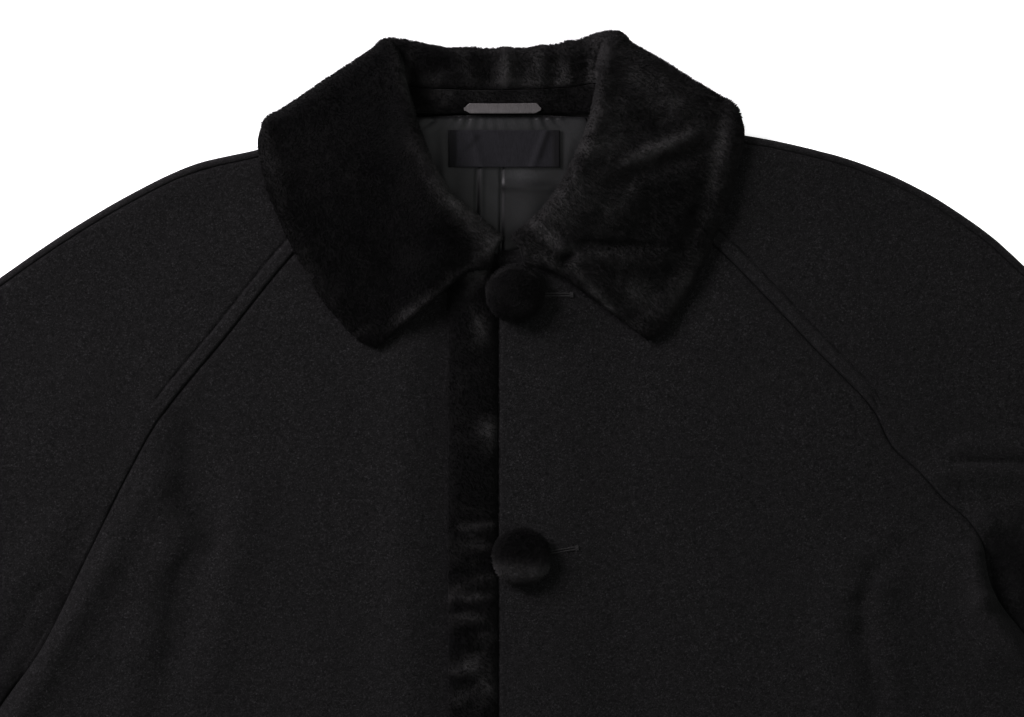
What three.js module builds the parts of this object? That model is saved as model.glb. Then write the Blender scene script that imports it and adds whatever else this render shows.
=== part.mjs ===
// A black wool coat with raglan sleeves and a large plush collar, lying flat on its back, front up.
// Every piece is a wall of cloth: a grid of middle points with a normal and a thickness at each.
// While modelling, the origin is the middle of the back neck seam: X runs across the coat (the
// wearer's left is +X), Y from hem to collar, and Z up from the floor. The last lines move the
// origin to the middle of the bounding box's base. Lengths are millimetres.
import * as THREE from 'three';

// ---------------------------------------------------------------- driving sizes
const WALL = 3;              // melton with its lining
const PLUSH = 6;             // backing and pile of the collar and the front band
const STAND_WALL = 3.2;      // collar stand
const LINING_WALL = 1;
const TAPE_WALL = 0.8;       // hanger loop and label
const SEAM_GAP = 0.3;        // clear space between two pieces sewn together
const LAYER_GAP = 0.9;       // least space between the front layer and the back layer
const EDGE_RADIUS = 3.4;     // middle of the wall, where the back turns up over a shoulder edge
const SEAM_INSET = 4.9;      // over-arm seam, inside the coat's outline
const TURN_WIDTH = 5;        // plan width of the rounded side and underarm edges
const LOFT = 1.4;            // extra height of the front layer where it lies slack
const EDGE_LOFT = 2 * EDGE_RADIUS - WALL - LAYER_GAP;
const LINING_PAD = 1.4;      // extra height of the front layer over the back lining
const COLLAR_LIFT = 6.6;     // how far the folded-under collar lifts the back neck
const LIFT_RUN = 95;         // plan length over which that lift runs out
const UNDER_REACH = 63;      // how far the folded-under collar reaches below the neck seam
const UNDER_CURVE = 50;      // how much its edge rises at the sides
const UNDER_HALF = 160;      // half its width
const LAP_EDGE = -36.3;      // free edge of the plush band
const BAND_SEAM = -3.3;      // seam from the plush band to the left front
const UNDERLAP_EDGE = 30;    // free edge of the right front, hidden under the lap
const LAP_RISE = WALL + 0.5; // how far the left front lies above the right one
const LAP_RUN = 50;          // width over which it comes down beyond the underlap
const BUTTON_RADIUS = 19.8;
const BUTTON_HEIGHT = 9;
const SHANK_RADIUS = 4;
const BUTTON_PITCH = 173.6;
const BUTTON_COUNT = 4;
const BUTTON_TOP = { x: 8, y: -118, drift: 3 };
const FALL_START = 0.45;     // share of the collar's inner run that is the stand
const SEAM_SHARE = 0.022;    // half the gap at that seam, as a share of the inner run
const PRESSED = 2;           // thickness of the collar's pieces where that seam is pressed

// Rows along a sleeve and down the body, and how they crowd towards the neck or the armpit.
const RAGLAN_ROWS = 12;
const ARM_ROWS = 6;
const SIDE_ROWS = 10;
const NECK_CROWDING = 1.5;
const PIT_CROWDING = 1.4;

// Plan curves of the two sides. The wearer's right is -X.
const SIDES = {
  right: {
    overarm: [
      [-72, 3], [-115, -11], [-163, -23], [-205.3, -33], [-247.5, -52.8], [-289.7, -77.9],
      [-332, -106.9], [-400, -158], [-470, -218], [-560, -307], [-640, -397], [-684, -450],
    ],
    acrossPit: 0.6,
    frontRaglan: [
      [-68, -34], [-105, -59], [-140.6, -93.7], [-183, -146], [-225.7, -198.7], [-246.2, -234.3],
      [-275.9, -293.7], [-305.6, -353.1], [-332, -390.1], [-352, -422],
    ],
    backRaglan: [[-50, -1], [-95, -50], [-165, -135], [-240, -250], [-300, -345], [-352, -422]],
    underarm: [[-352, -422], [-366, -431], [-456, -499], [-560, -580]],
    side: [[-352, -422], [-356, -442], [-366, -540], [-388, -720], [-420, -935]],
  },
  left: {
    overarm: [
      [67, 3], [110, -6], [160, -13.5], [196, -20.5], [238.3, -32.3], [280.5, -51.5],
      [322.7, -79.9], [343.9, -99], [400, -150], [470, -222], [540, -305], [605, -392], [655, -465],
    ],
    acrossPit: 0.6,
    frontRaglan: [
      [62, -34], [100, -55], [145.2, -91.1], [169.6, -115.5], [207, -155], [244.2, -194],
      [257.4, -219.1], [276.5, -236.9], [291.7, -254.1], [306.9, -267.3], [316.5, -282],
      [321.5, -308], [331, -326], [344, -342], [358, -364], [364, -388],
    ],
    backRaglan: [[46, -1], [90, -48], [160, -130], [235, -235], [306, -319], [350, -367], [364, -388]],
    underarm: [[364, -388], [376, -399], [436, -478], [508, -572]],
    side: [[364, -388], [367, -410], [373, -520], [392, -700], [424, -932]],
  },
};
const HEM = [[-420, -935], [-220, -962], [0, -970], [220, -960], [424, -932]];
const FRONT_NECK = {
  right: [[-68, -34], [-62, -56], [-44, -76], [-18, -89], [UNDERLAP_EDGE, -96]],
  left: [[62, -34], [57, -54], [40, -74], [18, -87], [BAND_SEAM, -90]],
};
const BACK_NECK = [[-50, -1], [-25, 0], [0, 0], [24, 0], [46, -1]];

// Largest folds of the front layer: a ridge (high > 0) or trough along a line, with soft sides.
const FOLDS = [
  { x1: -210, y1: -212, x2: -196, y2: -276, wide: 20, high: -1.6 },
  { x1: -196, y1: -276, x2: -223, y2: -361, wide: 18, high: -1.8 },
  { x1: -172, y1: -250, x2: -186, y2: -350, wide: 20, high: 1.8 },
  { x1: 257, y1: -284, x2: 236, y2: -315, wide: 16, high: 2.6 },
  { x1: 236, y1: -315, x2: 246, y2: -376, wide: 18, high: 3.2 },
  { x1: 290, y1: -233, x2: 372, y2: -233, wide: 11, high: 3.6 },
  { x1: 296, y1: -218, x2: 372, y2: -216, wide: 12, high: -1.8 },
  { x1: 300, y1: -292, x2: 326, y2: -352, wide: 15, high: 5 },
  { x1: 334, y1: -286, x2: 352, y2: -330, wide: 15, high: -2.4 },
  { x1: -255, y1: -292, x2: -322, y2: -398, wide: 20, high: 2.8 },
  { x1: -306, y1: -322, x2: -345, y2: -392, wide: 15, high: -2.2 },
  { x1: -250, y1: -520, x2: -290, y2: -930, wide: 30, high: 3.2 },
  { x1: -130, y1: -600, x2: -150, y2: -950, wide: 28, high: 2.2 },
  { x1: 150, y1: -560, x2: 175, y2: -950, wide: 28, high: 2.4 },
  { x1: 268, y1: -500, x2: 310, y2: -930, wide: 30, high: 3.4 },
  { x1: -420, y1: -240, x2: -400, y2: -420, wide: 22, high: 2.8 },
  { x1: -560, y1: -350, x2: -500, y2: -470, wide: 22, high: 2.4 },
  { x1: 440, y1: -260, x2: 400, y2: -410, wide: 22, high: 2.8 },
  { x1: 570, y1: -400, x2: 470, y2: -470, wide: 22, high: 2.6 },
];

// Key sections of the collar, from the right front point round the back neck to the left one.
// roll is the crest of the fold (radius is that of its middle wall), turn is 90 where the outer leaf lies
// on top and -90 where it is folded underneath, edge is the free edge, neck the seam to the coat.
const COLLAR = [
  { roll: [1.5, -80, 21.5], radius: 3.4, turn: 90, edge: [-84.5, -155], neck: [-8, -93, 17.5] },
  { roll: [-7.5, -73.5, 23.5], radius: 3.6, turn: 90, edge: [-97, -150], neck: [-25, -87, 17.5] },
  { roll: [-19.5, -63.5, 27], radius: 4.2, turn: 90, edge: [-109, -137], neck: [-40, -78, 17.5] },
  { roll: [-35, -49.5, 31], radius: 5, turn: 90, edge: [-121, -122], neck: [-54.5, -66, 17.8] },
  { roll: [-46, -30, 33], radius: 5, turn: 90, edge: [-136, -96], neck: [-62.5, -46, 18] },
  { roll: [-55, -8, 32], radius: 5.5, turn: 90, edge: [-147, -75], neck: [-64.5, -26, 18] },
  { roll: [-62, 14, 27], radius: 6.5, turn: 90, edge: [-157, -50], neck: [-65.5, -11, 17.5] },
  { roll: [-68, 32, 21.5], radius: 5.5, turn: 90, edge: [-162, -28], neck: [-66, -4, 16] },
  { roll: [-71.5, 42, 17], radius: 5, turn: 90, edge: [-162.5, -16], neck: [-65, -1, 15] },
  { roll: [-74, 49, 12], radius: 6, turn: 0, edge: [-158.5, -6.5], neck: [-62, 1, 12.5] },
  { roll: [-67, 48.5, 8], radius: 5, turn: -90, edge: [-149, -12], neck: [-56, 1, 10.6] },
  { roll: [-52, 46, 8], radius: 5, turn: -90, edge: [-118, -36], neck: [-47, 0.8, 9.6] },
  { roll: [-28, 44.5, 8], radius: 5, turn: -90, edge: [-60, -55], neck: [-25, 0.8, 9.4] },
  { roll: [0, 44, 8], radius: 5, turn: -90, edge: [0, -62], neck: [0, 0.8, 9.4] },
  { roll: [28, 45.5, 8], radius: 5, turn: -90, edge: [60, -55], neck: [24, 0.8, 9.4] },
  { roll: [49, 48, 8], radius: 5, turn: -90, edge: [118, -34], neck: [43, 0.8, 9.6] },
  { roll: [65, 52.5, 8], radius: 5, turn: -90, edge: [146, -3], neck: [51, 1, 10.6] },
  { roll: [71.5, 53, 12], radius: 6, turn: 0, edge: [154.5, 3.5], neck: [57, 1, 12.5] },
  { roll: [69, 47, 17], radius: 5, turn: 90, edge: [159, -5], neck: [60, -1, 14.5] },
  { roll: [66, 35, 21.5], radius: 5.5, turn: 90, edge: [160, -17], neck: [61, -4, 16] },
  { roll: [61, 15, 27], radius: 6.5, turn: 90, edge: [154, -43], neck: [60.5, -11, 17.5] },
  { roll: [56, -6, 32], radius: 5.5, turn: 90, edge: [148, -65], neck: [59.5, -26, 18] },
  { roll: [47, -28, 33], radius: 5, turn: 90, edge: [140, -83], neck: [57.5, -46, 18.5] },
  { roll: [34.5, -49.5, 31], radius: 5, turn: 90, edge: [129, -108], neck: [51, -62, 20] },
  { roll: [23, -65, 27], radius: 4.2, turn: 90, edge: [118, -126], neck: [39, -74, 21] },
  { roll: [12.5, -74, 24.5], radius: 3.6, turn: 90, edge: [108, -143], neck: [26, -82, 21.8] },
  { roll: [5.5, -80, 23.5], radius: 3.4, turn: 90, edge: [97, -150], neck: [13, -87.5, 21.8] },
];
const COLLAR_COLUMNS = 46;   // cells round the collar
const LEAF_GAP = 0.9;        // collar leaf above the front layer
const LEAF_CROWN = 2;        // soft swelling in the middle of a leaf
const CREST_INSET = 2.6;     // from the crest of the pile in to the middle of the rolled wall
const TAB = { at: 0.12, run: 0.1, share: 0.02, across: 4.5, down: 7.5 };   // see frontTab

// ---------------------------------------------------------------- small helpers
const vec = (x, y, z = 0) => new THREE.Vector3(x, y, z);
const mix = (a, b, t) => a + (b - a) * t;
const radians = (degrees) => (degrees * Math.PI) / 180;

function smooth(t) {
  const c = Math.min(Math.max(t, 0), 1);
  return c * c * (3 - 2 * c);
}

function planCurve(points) {
  return new THREE.CatmullRomCurve3(points.map(([x, y]) => vec(x, y)), false, 'centripetal');
}

// Point, tangent and left-hand normal of a plan curve at a share of its length.
function curveFrame(curve, share) {
  const point = curve.getPointAt(share);
  const tangent = curve.getTangentAt(share);
  return { point, tangent, normal: vec(-tangent.y, tangent.x) };
}

function segmentDistance(x, y, x1, y1, x2, y2) {
  const dx = x2 - x1;
  const dy = y2 - y1;
  const t = Math.min(Math.max(((x - x1) * dx + (y - y1) * dy) / (dx * dx + dy * dy), 0), 1);
  return Math.hypot(x - x1 - t * dx, y - y1 - t * dy);
}

// ---------------------------------------------------------------- curves and outlines
const curves = {};
for (const [side, plan] of Object.entries(SIDES)) {
  curves[side] = {
    overarm: planCurve(plan.overarm),
    frontRaglan: planCurve(plan.frontRaglan),
    backRaglan: planCurve(plan.backRaglan),
    underarm: planCurve(plan.underarm),
    side: planCurve(plan.side),
  };
}

function polyline(curve, steps) {
  return Array.from({ length: steps + 1 }, (_, i) => curve.getPointAt(i / steps));
}

// Each chain runs cuff, armpit, hem (or back again) with the cloth on its left.
const CHAIN_STEPS = 40;
const ON_EDGE = 0.2;         // nearer than this, a point is on the edge itself
const turnedEdges = [
  polyline(curves.right.underarm, CHAIN_STEPS).reverse().concat(
    polyline(curves.right.side, CHAIN_STEPS).slice(1)),
  polyline(curves.left.side, CHAIN_STEPS).reverse().concat(
    polyline(curves.left.underarm, CHAIN_STEPS).slice(1)),
];
const shoulderEdges = [polyline(curves.right.overarm, 30), polyline(curves.left.overarm, 30)];

// Distance to the nearest side or underarm edge, and the plan direction out through it.
function nearestTurnedEdge(x, y) {
  let distance = Infinity;
  let outward = vec(0, 0);
  for (const chain of turnedEdges) {
    for (let i = 0; i + 1 < chain.length; i += 1) {
      const [a, b] = [chain[i], chain[i + 1]];
      const d = segmentDistance(x, y, a.x, a.y, b.x, b.y);
      if (d < distance + 0.01) {
        const side = vec(b.y - a.y, a.x - b.x).normalize();
        if (d < distance - 0.01) outward = side;
        else outward = outward.clone().add(side);
        distance = Math.min(d, distance);
      }
    }
  }
  return { distance: distance < ON_EDGE ? 0 : distance, outward: outward.normalize() };
}

function shoulderDistance(x, y) {
  let nearest = Infinity;
  for (const edge of shoulderEdges) {
    for (let i = 0; i + 1 < edge.length; i += 1) {
      nearest = Math.min(nearest, segmentDistance(x, y, edge[i].x, edge[i].y, edge[i + 1].x, edge[i + 1].y));
    }
  }
  return nearest;
}

// ---------------------------------------------------------------- heights of the layers
// The collar is folded under the back neck, and lifts the layers above it.
function lift(x, y) {
  const across = Math.min(Math.abs(x) / UNDER_HALF, 1.2);
  const below = UNDER_CURVE * across * across - UNDER_REACH - y;
  const beside = Math.abs(x) - UNDER_HALF - 5;
  return COLLAR_LIFT * (1 - smooth(Math.max(below, beside) / LIFT_RUN));
}

function liningPad(x, y) {
  const reach = Math.hypot(x / 95, (y + 55) / 75);
  return LINING_PAD * (1 - smooth((reach - 1) / 0.5));
}

function foldHeight(x, y) {
  let height = 0;
  for (const fold of FOLDS) {
    const away = segmentDistance(x, y, fold.x1, fold.y1, fold.x2, fold.y2) / fold.wide;
    height += fold.high * Math.exp(-away * away);
  }
  return height;
}

// Middle of the front layer's wall.
function frontMiddle(x, y) {
  const slack = LOFT + foldHeight(x, y);
  const lying = 0.5 * (slack + Math.sqrt(slack * slack + 0.4));
  const shoulder = shoulderDistance(x, y) / 26;
  const turned = nearestTurnedEdge(x, y).distance / 20;
  const air = mix(lying, EDGE_LOFT, Math.max(Math.exp(-shoulder * shoulder), Math.exp(-turned * turned)));
  return lift(x, y) + 1.5 * WALL + LAYER_GAP + liningPad(x, y) + air;
}

const backMiddle = (x, y) => lift(x, y) + WALL / 2;

// Extra height of the left front over the underlap.
const lapRise = (x) => LAP_RISE * (1 - smooth((x - UNDERLAP_EDGE - 4) / LAP_RUN));

// A point of a layer's middle surface with its outward normal. Towards a side or underarm edge
// the front turns down and the back turns up, each as a quarter ellipse, to meet half way.
function layerPoint(x, y, layer) {
  const height = layer.height;
  const step = 0.5;
  const slopeX = (height(x + step, y) - height(x - step, y)) / (2 * step);
  const slopeY = (height(x, y + step) - height(x, y - step)) / (2 * step);
  const flat = vec(-slopeX, -slopeY, 1).normalize();
  const { distance, outward } = nearestTurnedEdge(x, y);
  const meet = lift(x, y) + WALL / 2 + EDGE_RADIUS + layer.facing * (SEAM_GAP / 2);
  const full = height(x, y);
  let normal = flat.multiplyScalar(layer.facing);
  let z = full;
  if (distance < TURN_WIDTH) {
    const cosine = 1 - distance / TURN_WIDTH;
    const sine = Math.sqrt(1 - cosine * cosine);
    z = mix(meet, full, sine);
    const sideways = outward.multiplyScalar(cosine / TURN_WIDTH);
    normal = sideways.add(vec(0, 0, (layer.facing * sine) / Math.abs(full - meet))).normalize();
  }
  return { point: vec(x, y, z), normal };
}

const FRONT = { height: frontMiddle, facing: 1 };
const LAPPED = { height: (x, y) => frontMiddle(x, y) + lapRise(x), facing: 1 };
const BACK = { height: backMiddle, facing: -1 };

// ---------------------------------------------------------------- a closed wall from a grid
// grid[i][j] holds { point, normal, thick }. The wall is closed along all four sides.
function wallGeometry(grid, thick) {
  const rows = grid.length;
  const columns = grid[0].length;
  const outer = (i, j) => i * columns + j;
  const inner = (i, j) => rows * columns + outer(i, j);
  const positions = [];
  for (const sign of [0.5, -0.5]) {
    for (const row of grid) {
      for (const cell of row) {
        const p = cell.point.clone().addScaledVector(cell.normal, sign * (cell.thick ?? thick));
        positions.push(p.x, p.y, p.z);
      }
    }
  }
  const faces = [];
  const quad = (a, b, c, d) => faces.push(a, b, c, a, c, d);
  for (let i = 0; i + 1 < rows; i += 1) {
    for (let j = 0; j + 1 < columns; j += 1) {
      quad(outer(i, j), outer(i, j + 1), outer(i + 1, j + 1), outer(i + 1, j));
      quad(inner(i, j), inner(i + 1, j), inner(i + 1, j + 1), inner(i, j + 1));
    }
  }
  for (let i = 0; i + 1 < rows; i += 1) {
    const last = columns - 1;
    quad(outer(i, 0), outer(i + 1, 0), inner(i + 1, 0), inner(i, 0));
    quad(outer(i + 1, last), outer(i, last), inner(i, last), inner(i + 1, last));
  }
  for (let j = 0; j + 1 < columns; j += 1) {
    const last = rows - 1;
    quad(outer(0, j + 1), outer(0, j), inner(0, j), inner(0, j + 1));
    quad(outer(last, j), outer(last, j + 1), inner(last, j + 1), inner(last, j));
  }
  return faceOutward(positions, faces);
}

function faceOutward(positions, faces) {
  const at = (k) => vec(positions[3 * k], positions[3 * k + 1], positions[3 * k + 2]);
  let volume = 0;
  for (let f = 0; f < faces.length; f += 3) {
    volume += at(faces[f]).dot(at(faces[f + 1]).cross(at(faces[f + 2])));
  }
  if (volume < 0) faces.reverse();
  const geometry = new THREE.BufferGeometry();
  geometry.setAttribute('position', new THREE.Float32BufferAttribute(positions, 3));
  geometry.setIndex(faces);
  geometry.computeVertexNormals();
  return geometry;
}

// ---------------------------------------------------------------- rows of the sewing pattern
const crowd = (k, count, power) => Math.pow(k / count, power);
const raglanShare = (k) => crowd(k, RAGLAN_ROWS, NECK_CROWDING);
const armShare = (k) => crowd(k - RAGLAN_ROWS, ARM_ROWS, PIT_CROWDING);
const sideShare = (k) => crowd(k - RAGLAN_ROWS, SIDE_ROWS, PIT_CROWDING);

// A seam's row point: where the surface is worked out, and the plan shift that opens the seam.
function seamPoint(curve, share, toward) {
  const frame = curveFrame(curve, share);
  const sign = Math.sign(frame.normal.dot(toward));
  return { at: frame.point, shift: frame.normal.multiplyScalar((sign * SEAM_GAP) / 2) };
}

const edgePoint = (curve, share) => ({ at: curve.getPointAt(share), shift: vec(0, 0) });

function raglanThenArm(side, raglan, k) {
  const outward = vec(side === 'right' ? -1 : 1, 0.5);
  if (k <= RAGLAN_ROWS) return seamPoint(curves[side][raglan], raglanShare(k), outward);
  return edgePoint(curves[side].underarm, armShare(k));
}

function raglanThenSide(side, raglan, k) {
  const inward = vec(side === 'right' ? 1 : -1, -0.5);
  if (k <= RAGLAN_ROWS) return seamPoint(curves[side][raglan], raglanShare(k), inward);
  return edgePoint(curves[side].side, sideShare(k));
}

// Point of the shoulder and over-arm outline for a sleeve row, and the way into the sleeve.
function overarmFrame(side, k) {
  const pit = SIDES[side].acrossPit;
  const share = k <= RAGLAN_ROWS ? pit * raglanShare(k) : mix(pit, 1, (k - RAGLAN_ROWS) / ARM_ROWS);
  const frame = curveFrame(curves[side].overarm, share);
  if (frame.normal.y > 0) frame.normal.negate();
  return { point: frame.point, inward: frame.normal };
}

// Shares of a row's length: even steps, then the narrow steps of a turned edge at its end.
const TURN_STOPS = [12, TURN_WIDTH, 0.5 * TURN_WIDTH, 0.134 * TURN_WIDTH, 0];

function rowStops(length, evenSteps) {
  const stops = [];
  const evenEnd = 1 - TURN_STOPS[0] / length;
  for (let i = 0; i < evenSteps; i += 1) stops.push((evenEnd * i) / evenSteps);
  for (const away of TURN_STOPS) stops.push(1 - away / length);
  return stops;
}

function cellAt(x, y, layer, shift = vec(0, 0)) {
  const cell = layerPoint(x, y, layer);
  cell.point.add(shift);
  return cell;
}

// ---------------------------------------------------------------- sleeves
function sleeveFront(side) {
  const grid = [];
  for (let k = 0; k <= RAGLAN_ROWS + ARM_ROWS; k += 1) {
    const { point, inward } = overarmFrame(side, k);
    const start = point.clone().addScaledVector(inward, SEAM_INSET + SEAM_GAP);
    const end = raglanThenArm(side, 'frontRaglan', k);
    const stops = rowStops(start.distanceTo(end.at), 8);
    grid.push(stops.map((u) => {
      const at = start.clone().lerp(end.at, u);
      return cellAt(at.x, at.y, FRONT, u === 1 ? end.shift : undefined);
    }));
  }
  return wallGeometry(grid, WALL);
}

const WRAP_ANGLES = [90, 45, 0, -45, -90];

function sleeveBack(side) {
  const grid = [];
  for (let k = 0; k <= RAGLAN_ROWS + ARM_ROWS; k += 1) {
    const { point, inward } = overarmFrame(side, k);
    const base = lift(point.x, point.y) + WALL / 2 + EDGE_RADIUS;
    const row = WRAP_ANGLES.map((degrees) => {
      const [c, s] = [Math.cos(radians(degrees)), Math.sin(radians(degrees))];
      const inset = WALL / 2 + EDGE_RADIUS * (1 - c);
      const at = point.clone().addScaledVector(inward, inset);
      at.z = base + EDGE_RADIUS * s;
      return { point: at, normal: inward.clone().multiplyScalar(-c).add(vec(0, 0, s)) };
    });
    const start = point.clone().addScaledVector(inward, SEAM_INSET);
    const end = raglanThenArm(side, 'backRaglan', k);
    const stops = rowStops(start.distanceTo(end.at), 5).slice(1);
    for (const u of stops) {
      const at = start.clone().lerp(end.at, u);
      row.push(cellAt(at.x, at.y, BACK, u === 1 ? end.shift : undefined));
    }
    grid.push(row);
  }
  return wallGeometry(grid, WALL);
}

// ---------------------------------------------------------------- fronts, back and band
// A row between two row points, bent towards the neck curve at the top and the hem at the bottom.
function bodyRow(start, end, stops, k, neck, hem, layer, trimEnd) {
  const down = k / (RAGLAN_ROWS + SIDE_ROWS);
  const neckPull = Math.pow(1 - down, 6);
  const hemPull = Math.pow(down, 6);
  return stops.map((u) => {
    const at = start.at.clone().lerp(end.at, u);
    at.addScaledVector(neck(u), neckPull).addScaledVector(hem(u), hemPull);
    const shift = u === 0 ? start.shift : trimEnd && u === 1 ? end.shift : undefined;
    return cellAt(at.x, at.y, layer, shift);
  });
}

// How far a curve bows from its chord, at a share of its length.
function bow(points) {
  const curve = planCurve(points);
  const [first, last] = [curve.getPointAt(0), curve.getPointAt(1)];
  return (u) => curve.getPointAt(u).sub(first.clone().lerp(last, u));
}

function hemBow(fromX, toX) {
  const curve = planCurve(HEM);
  const hemAt = (x) => {
    let [low, high] = [0, 1];
    for (let i = 0; i < 30; i += 1) {
      const middle = (low + high) / 2;
      if (curve.getPointAt(middle).x < x) low = middle;
      else high = middle;
    }
    return curve.getPointAt(low);
  };
  const [first, last] = [hemAt(fromX), hemAt(toX)];
  return { last, bowAt: (u) => vec(0, hemAt(mix(fromX, toX, u)).y - mix(first.y, last.y, u)) };
}

function front(side, edgeX, layer) {
  const grid = [];
  const rows = RAGLAN_ROWS + SIDE_ROWS;
  const neck = bow(FRONT_NECK[side]);
  const hemCorner = SIDES[side].side.at(-1);
  const hem = hemBow(hemCorner[0], edgeX);
  const neckY = FRONT_NECK[side].at(-1)[1];
  const pitY = SIDES[side].side[0][1];
  const inward = Math.sign(edgeX - hemCorner[0]);
  for (let k = 0; k <= rows; k += 1) {
    const start = raglanThenSide(side, 'frontRaglan', k);
    const y = k <= RAGLAN_ROWS
      ? mix(neckY, pitY, raglanShare(k)) : mix(pitY, hem.last.y, sideShare(k));
    const end = { at: vec(edgeX, y), shift: vec((-inward * SEAM_GAP) / 2, 0) };
    const stops = rowStops(start.at.distanceTo(end.at), 13).reverse().map((u) => 1 - u);
    grid.push(bodyRow(start, end, stops, k, neck, hem.bowAt, layer, true));
  }
  return wallGeometry(grid, WALL);
}

function back() {
  const grid = [];
  const neck = bow(BACK_NECK);
  const hem = hemBow(HEM[0][0], HEM.at(-1)[0]);
  for (let k = 0; k <= RAGLAN_ROWS + SIDE_ROWS; k += 1) {
    const start = raglanThenSide('right', 'backRaglan', k);
    const end = raglanThenSide('left', 'backRaglan', k);
    const length = start.at.distanceTo(end.at);
    const turned = rowStops(length, 5).filter((u) => u >= 0.5);
    const middle = Array.from({ length: 7 }, (_, i) => 0.2 + (0.6 * i) / 6);
    const right = turned.filter((u) => u > 0.85);
    const stops = [...right.map((u) => 1 - u).reverse(), ...middle, ...right];
    grid.push(bodyRow(start, end, stops, k, neck, hem.bowAt, BACK, true));
  }
  return wallGeometry(grid, WALL);
}

// The plush band is a padded strip with round edges, and the left front's free edge.
const BAND_PROFILE = [
  { across: 0.01, thick: 1.6 }, { across: 0.12, thick: 4.6 }, { across: 0.35, thick: PLUSH },
  { across: 0.65, thick: PLUSH }, { across: 0.9, thick: 4.8 }, { across: 0.99, thick: 3 },
];
const BAND_TOP = -95;

function frontBand() {
  const hem = hemBow(HEM[0][0], HEM.at(-1)[0]).last.y;
  const bottom = mix(-970, hem, 0.002);
  const rows = 22;
  const grid = [];
  for (let k = 0; k <= rows; k += 1) {
    const y = mix(BAND_TOP, bottom, k / rows);
    grid.push(BAND_PROFILE.map(({ across, thick }) => {
      const x = mix(LAP_EDGE, BAND_SEAM - SEAM_GAP, across);
      const under = frontMiddle(x, y) + LAP_RISE - WALL / 2;
      return { point: vec(x, y, under + thick / 2), normal: vec(0, 0, 1), thick };
    }));
  }
  return wallGeometry(grid, PLUSH);
}

// ---------------------------------------------------------------- collar
// Extra height under a collar leaf where it crosses the lap and the plush band.
function closureRise(x) {
  const reach = smooth((x + 78) / 34);
  const wool = LAP_RISE * reach * (1 - smooth((x - 34) / LAP_RUN));
  const plush = 3.6 * reach * (1 - smooth((x + 3) / 14));
  return wool + plush;
}

function leafMiddle(x, y) {
  return frontMiddle(x, y) + WALL / 2 + LEAF_GAP + PLUSH / 2 + closureRise(x);
}

// Uniform Catmull-Rom interpolation of one column of the section table.
function tableValue(read, u) {
  const place = u * (COLLAR.length - 1);
  const k = Math.min(Math.floor(place), COLLAR.length - 2);
  const t = place - k;
  const value = (i) => read(COLLAR[Math.min(Math.max(i, 0), COLLAR.length - 1)]);
  const [a, b, c, d] = [value(k - 1), value(k), value(k + 1), value(k + 2)];
  return 0.5 * (2 * b + (c - a) * t + (2 * a - 5 * b + 4 * c - d) * t * t
    + (3 * b - a - 3 * c + d) * t * t * t);
}

function collarSection(u) {
  const point = (name) => vec(...[0, 1, 2].map((axis) => tableValue((row) => row[name][axis] ?? 0, u)));
  const roll = point('roll');
  const edge = point('edge');
  const neck = point('neck');
  const turn = radians(Math.min(Math.max(tableValue((row) => row.turn, u), -90), 90));
  const radius = tableValue((row) => row.radius, u);
  const toEdge = vec(edge.x - roll.x, edge.y - roll.y).normalize();
  const toNeck = vec(neck.x - roll.x, neck.y - roll.y).normalize();
  const inward = toEdge.clone().add(toNeck).normalize();
  roll.addScaledVector(inward, CREST_INSET);
  const side = u < 0.5 ? -1 : 1;
  const across = vec(-side * inward.y * Math.cos(turn), side * inward.x * Math.cos(turn), Math.sin(turn));
  return { roll, edge, neck, turn, radius, inward, across };
}

// Shift of a leaf's point near its front end, where the two leaves are fuller and meet. run is the
// share of the leaf's width from its roll.
function frontTab(u, run) {
  const nearEnd = Math.exp(-((Math.min(u, 1 - u) / TAB.share) ** 2));
  const nearRoll = Math.exp(-(((run - TAB.at) / TAB.run) ** 2)) * Math.min(run / TAB.at, 1);
  const across = u < 0.5 ? TAB.across : -TAB.across;
  return vec(across, -TAB.down, 0).multiplyScalar(nearEnd * nearRoll);
}

// Middle surface of the collar. v runs 0 to 1 from the neck seam up the inside, 1 to 2 over the
// rolled crest, and 2 to 3 down the outer leaf to its free edge.
function collarPoint(u, v) {
  const s = collarSection(u);
  const centre = s.roll.clone().addScaledVector(s.inward, s.radius);
  if (v <= 2) {
    const angle = Math.PI * (Math.max(v, 1) - 1.5);
    const bend = centre.clone()
      .addScaledVector(s.inward, -s.radius * Math.cos(angle))
      .addScaledVector(s.across, s.radius * Math.sin(angle));
    return v < 1 ? s.neck.clone().lerp(bend, v) : bend;
  }
  const run = v - 2;
  const begin = centre.clone().addScaledVector(s.across, s.radius);
  const at = begin.clone().setZ(0).lerp(s.edge.clone().setZ(0), run).add(frontTab(u, run));
  const top = (1 + Math.sin(s.turn)) / 2;
  const rest = (x, y) => mix(PLUSH / 2, leafMiddle(x, y), top);
  const falling = Math.pow(1 - run, 1.8);
  at.z = rest(at.x, at.y) + (begin.z - rest(begin.x, begin.y)) * falling
    + LEAF_CROWN * top * Math.sin(Math.PI * run);
  return at;
}

function collarCell(u, v, thick) {
  const step = 0.004;
  const along = collarPoint(Math.min(u + step, 1), v).sub(collarPoint(Math.max(u - step, 0), v));
  const across = collarPoint(u, Math.min(v + 0.02, 3)).sub(collarPoint(u, Math.max(v - 0.02, 0)));
  const cell = { point: collarPoint(u, v), normal: along.cross(across).normalize(), thick };
  cell.point.z = Math.max(cell.point.z, (thick / 2) * Math.abs(cell.normal.z));
  return cell;
}

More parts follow.
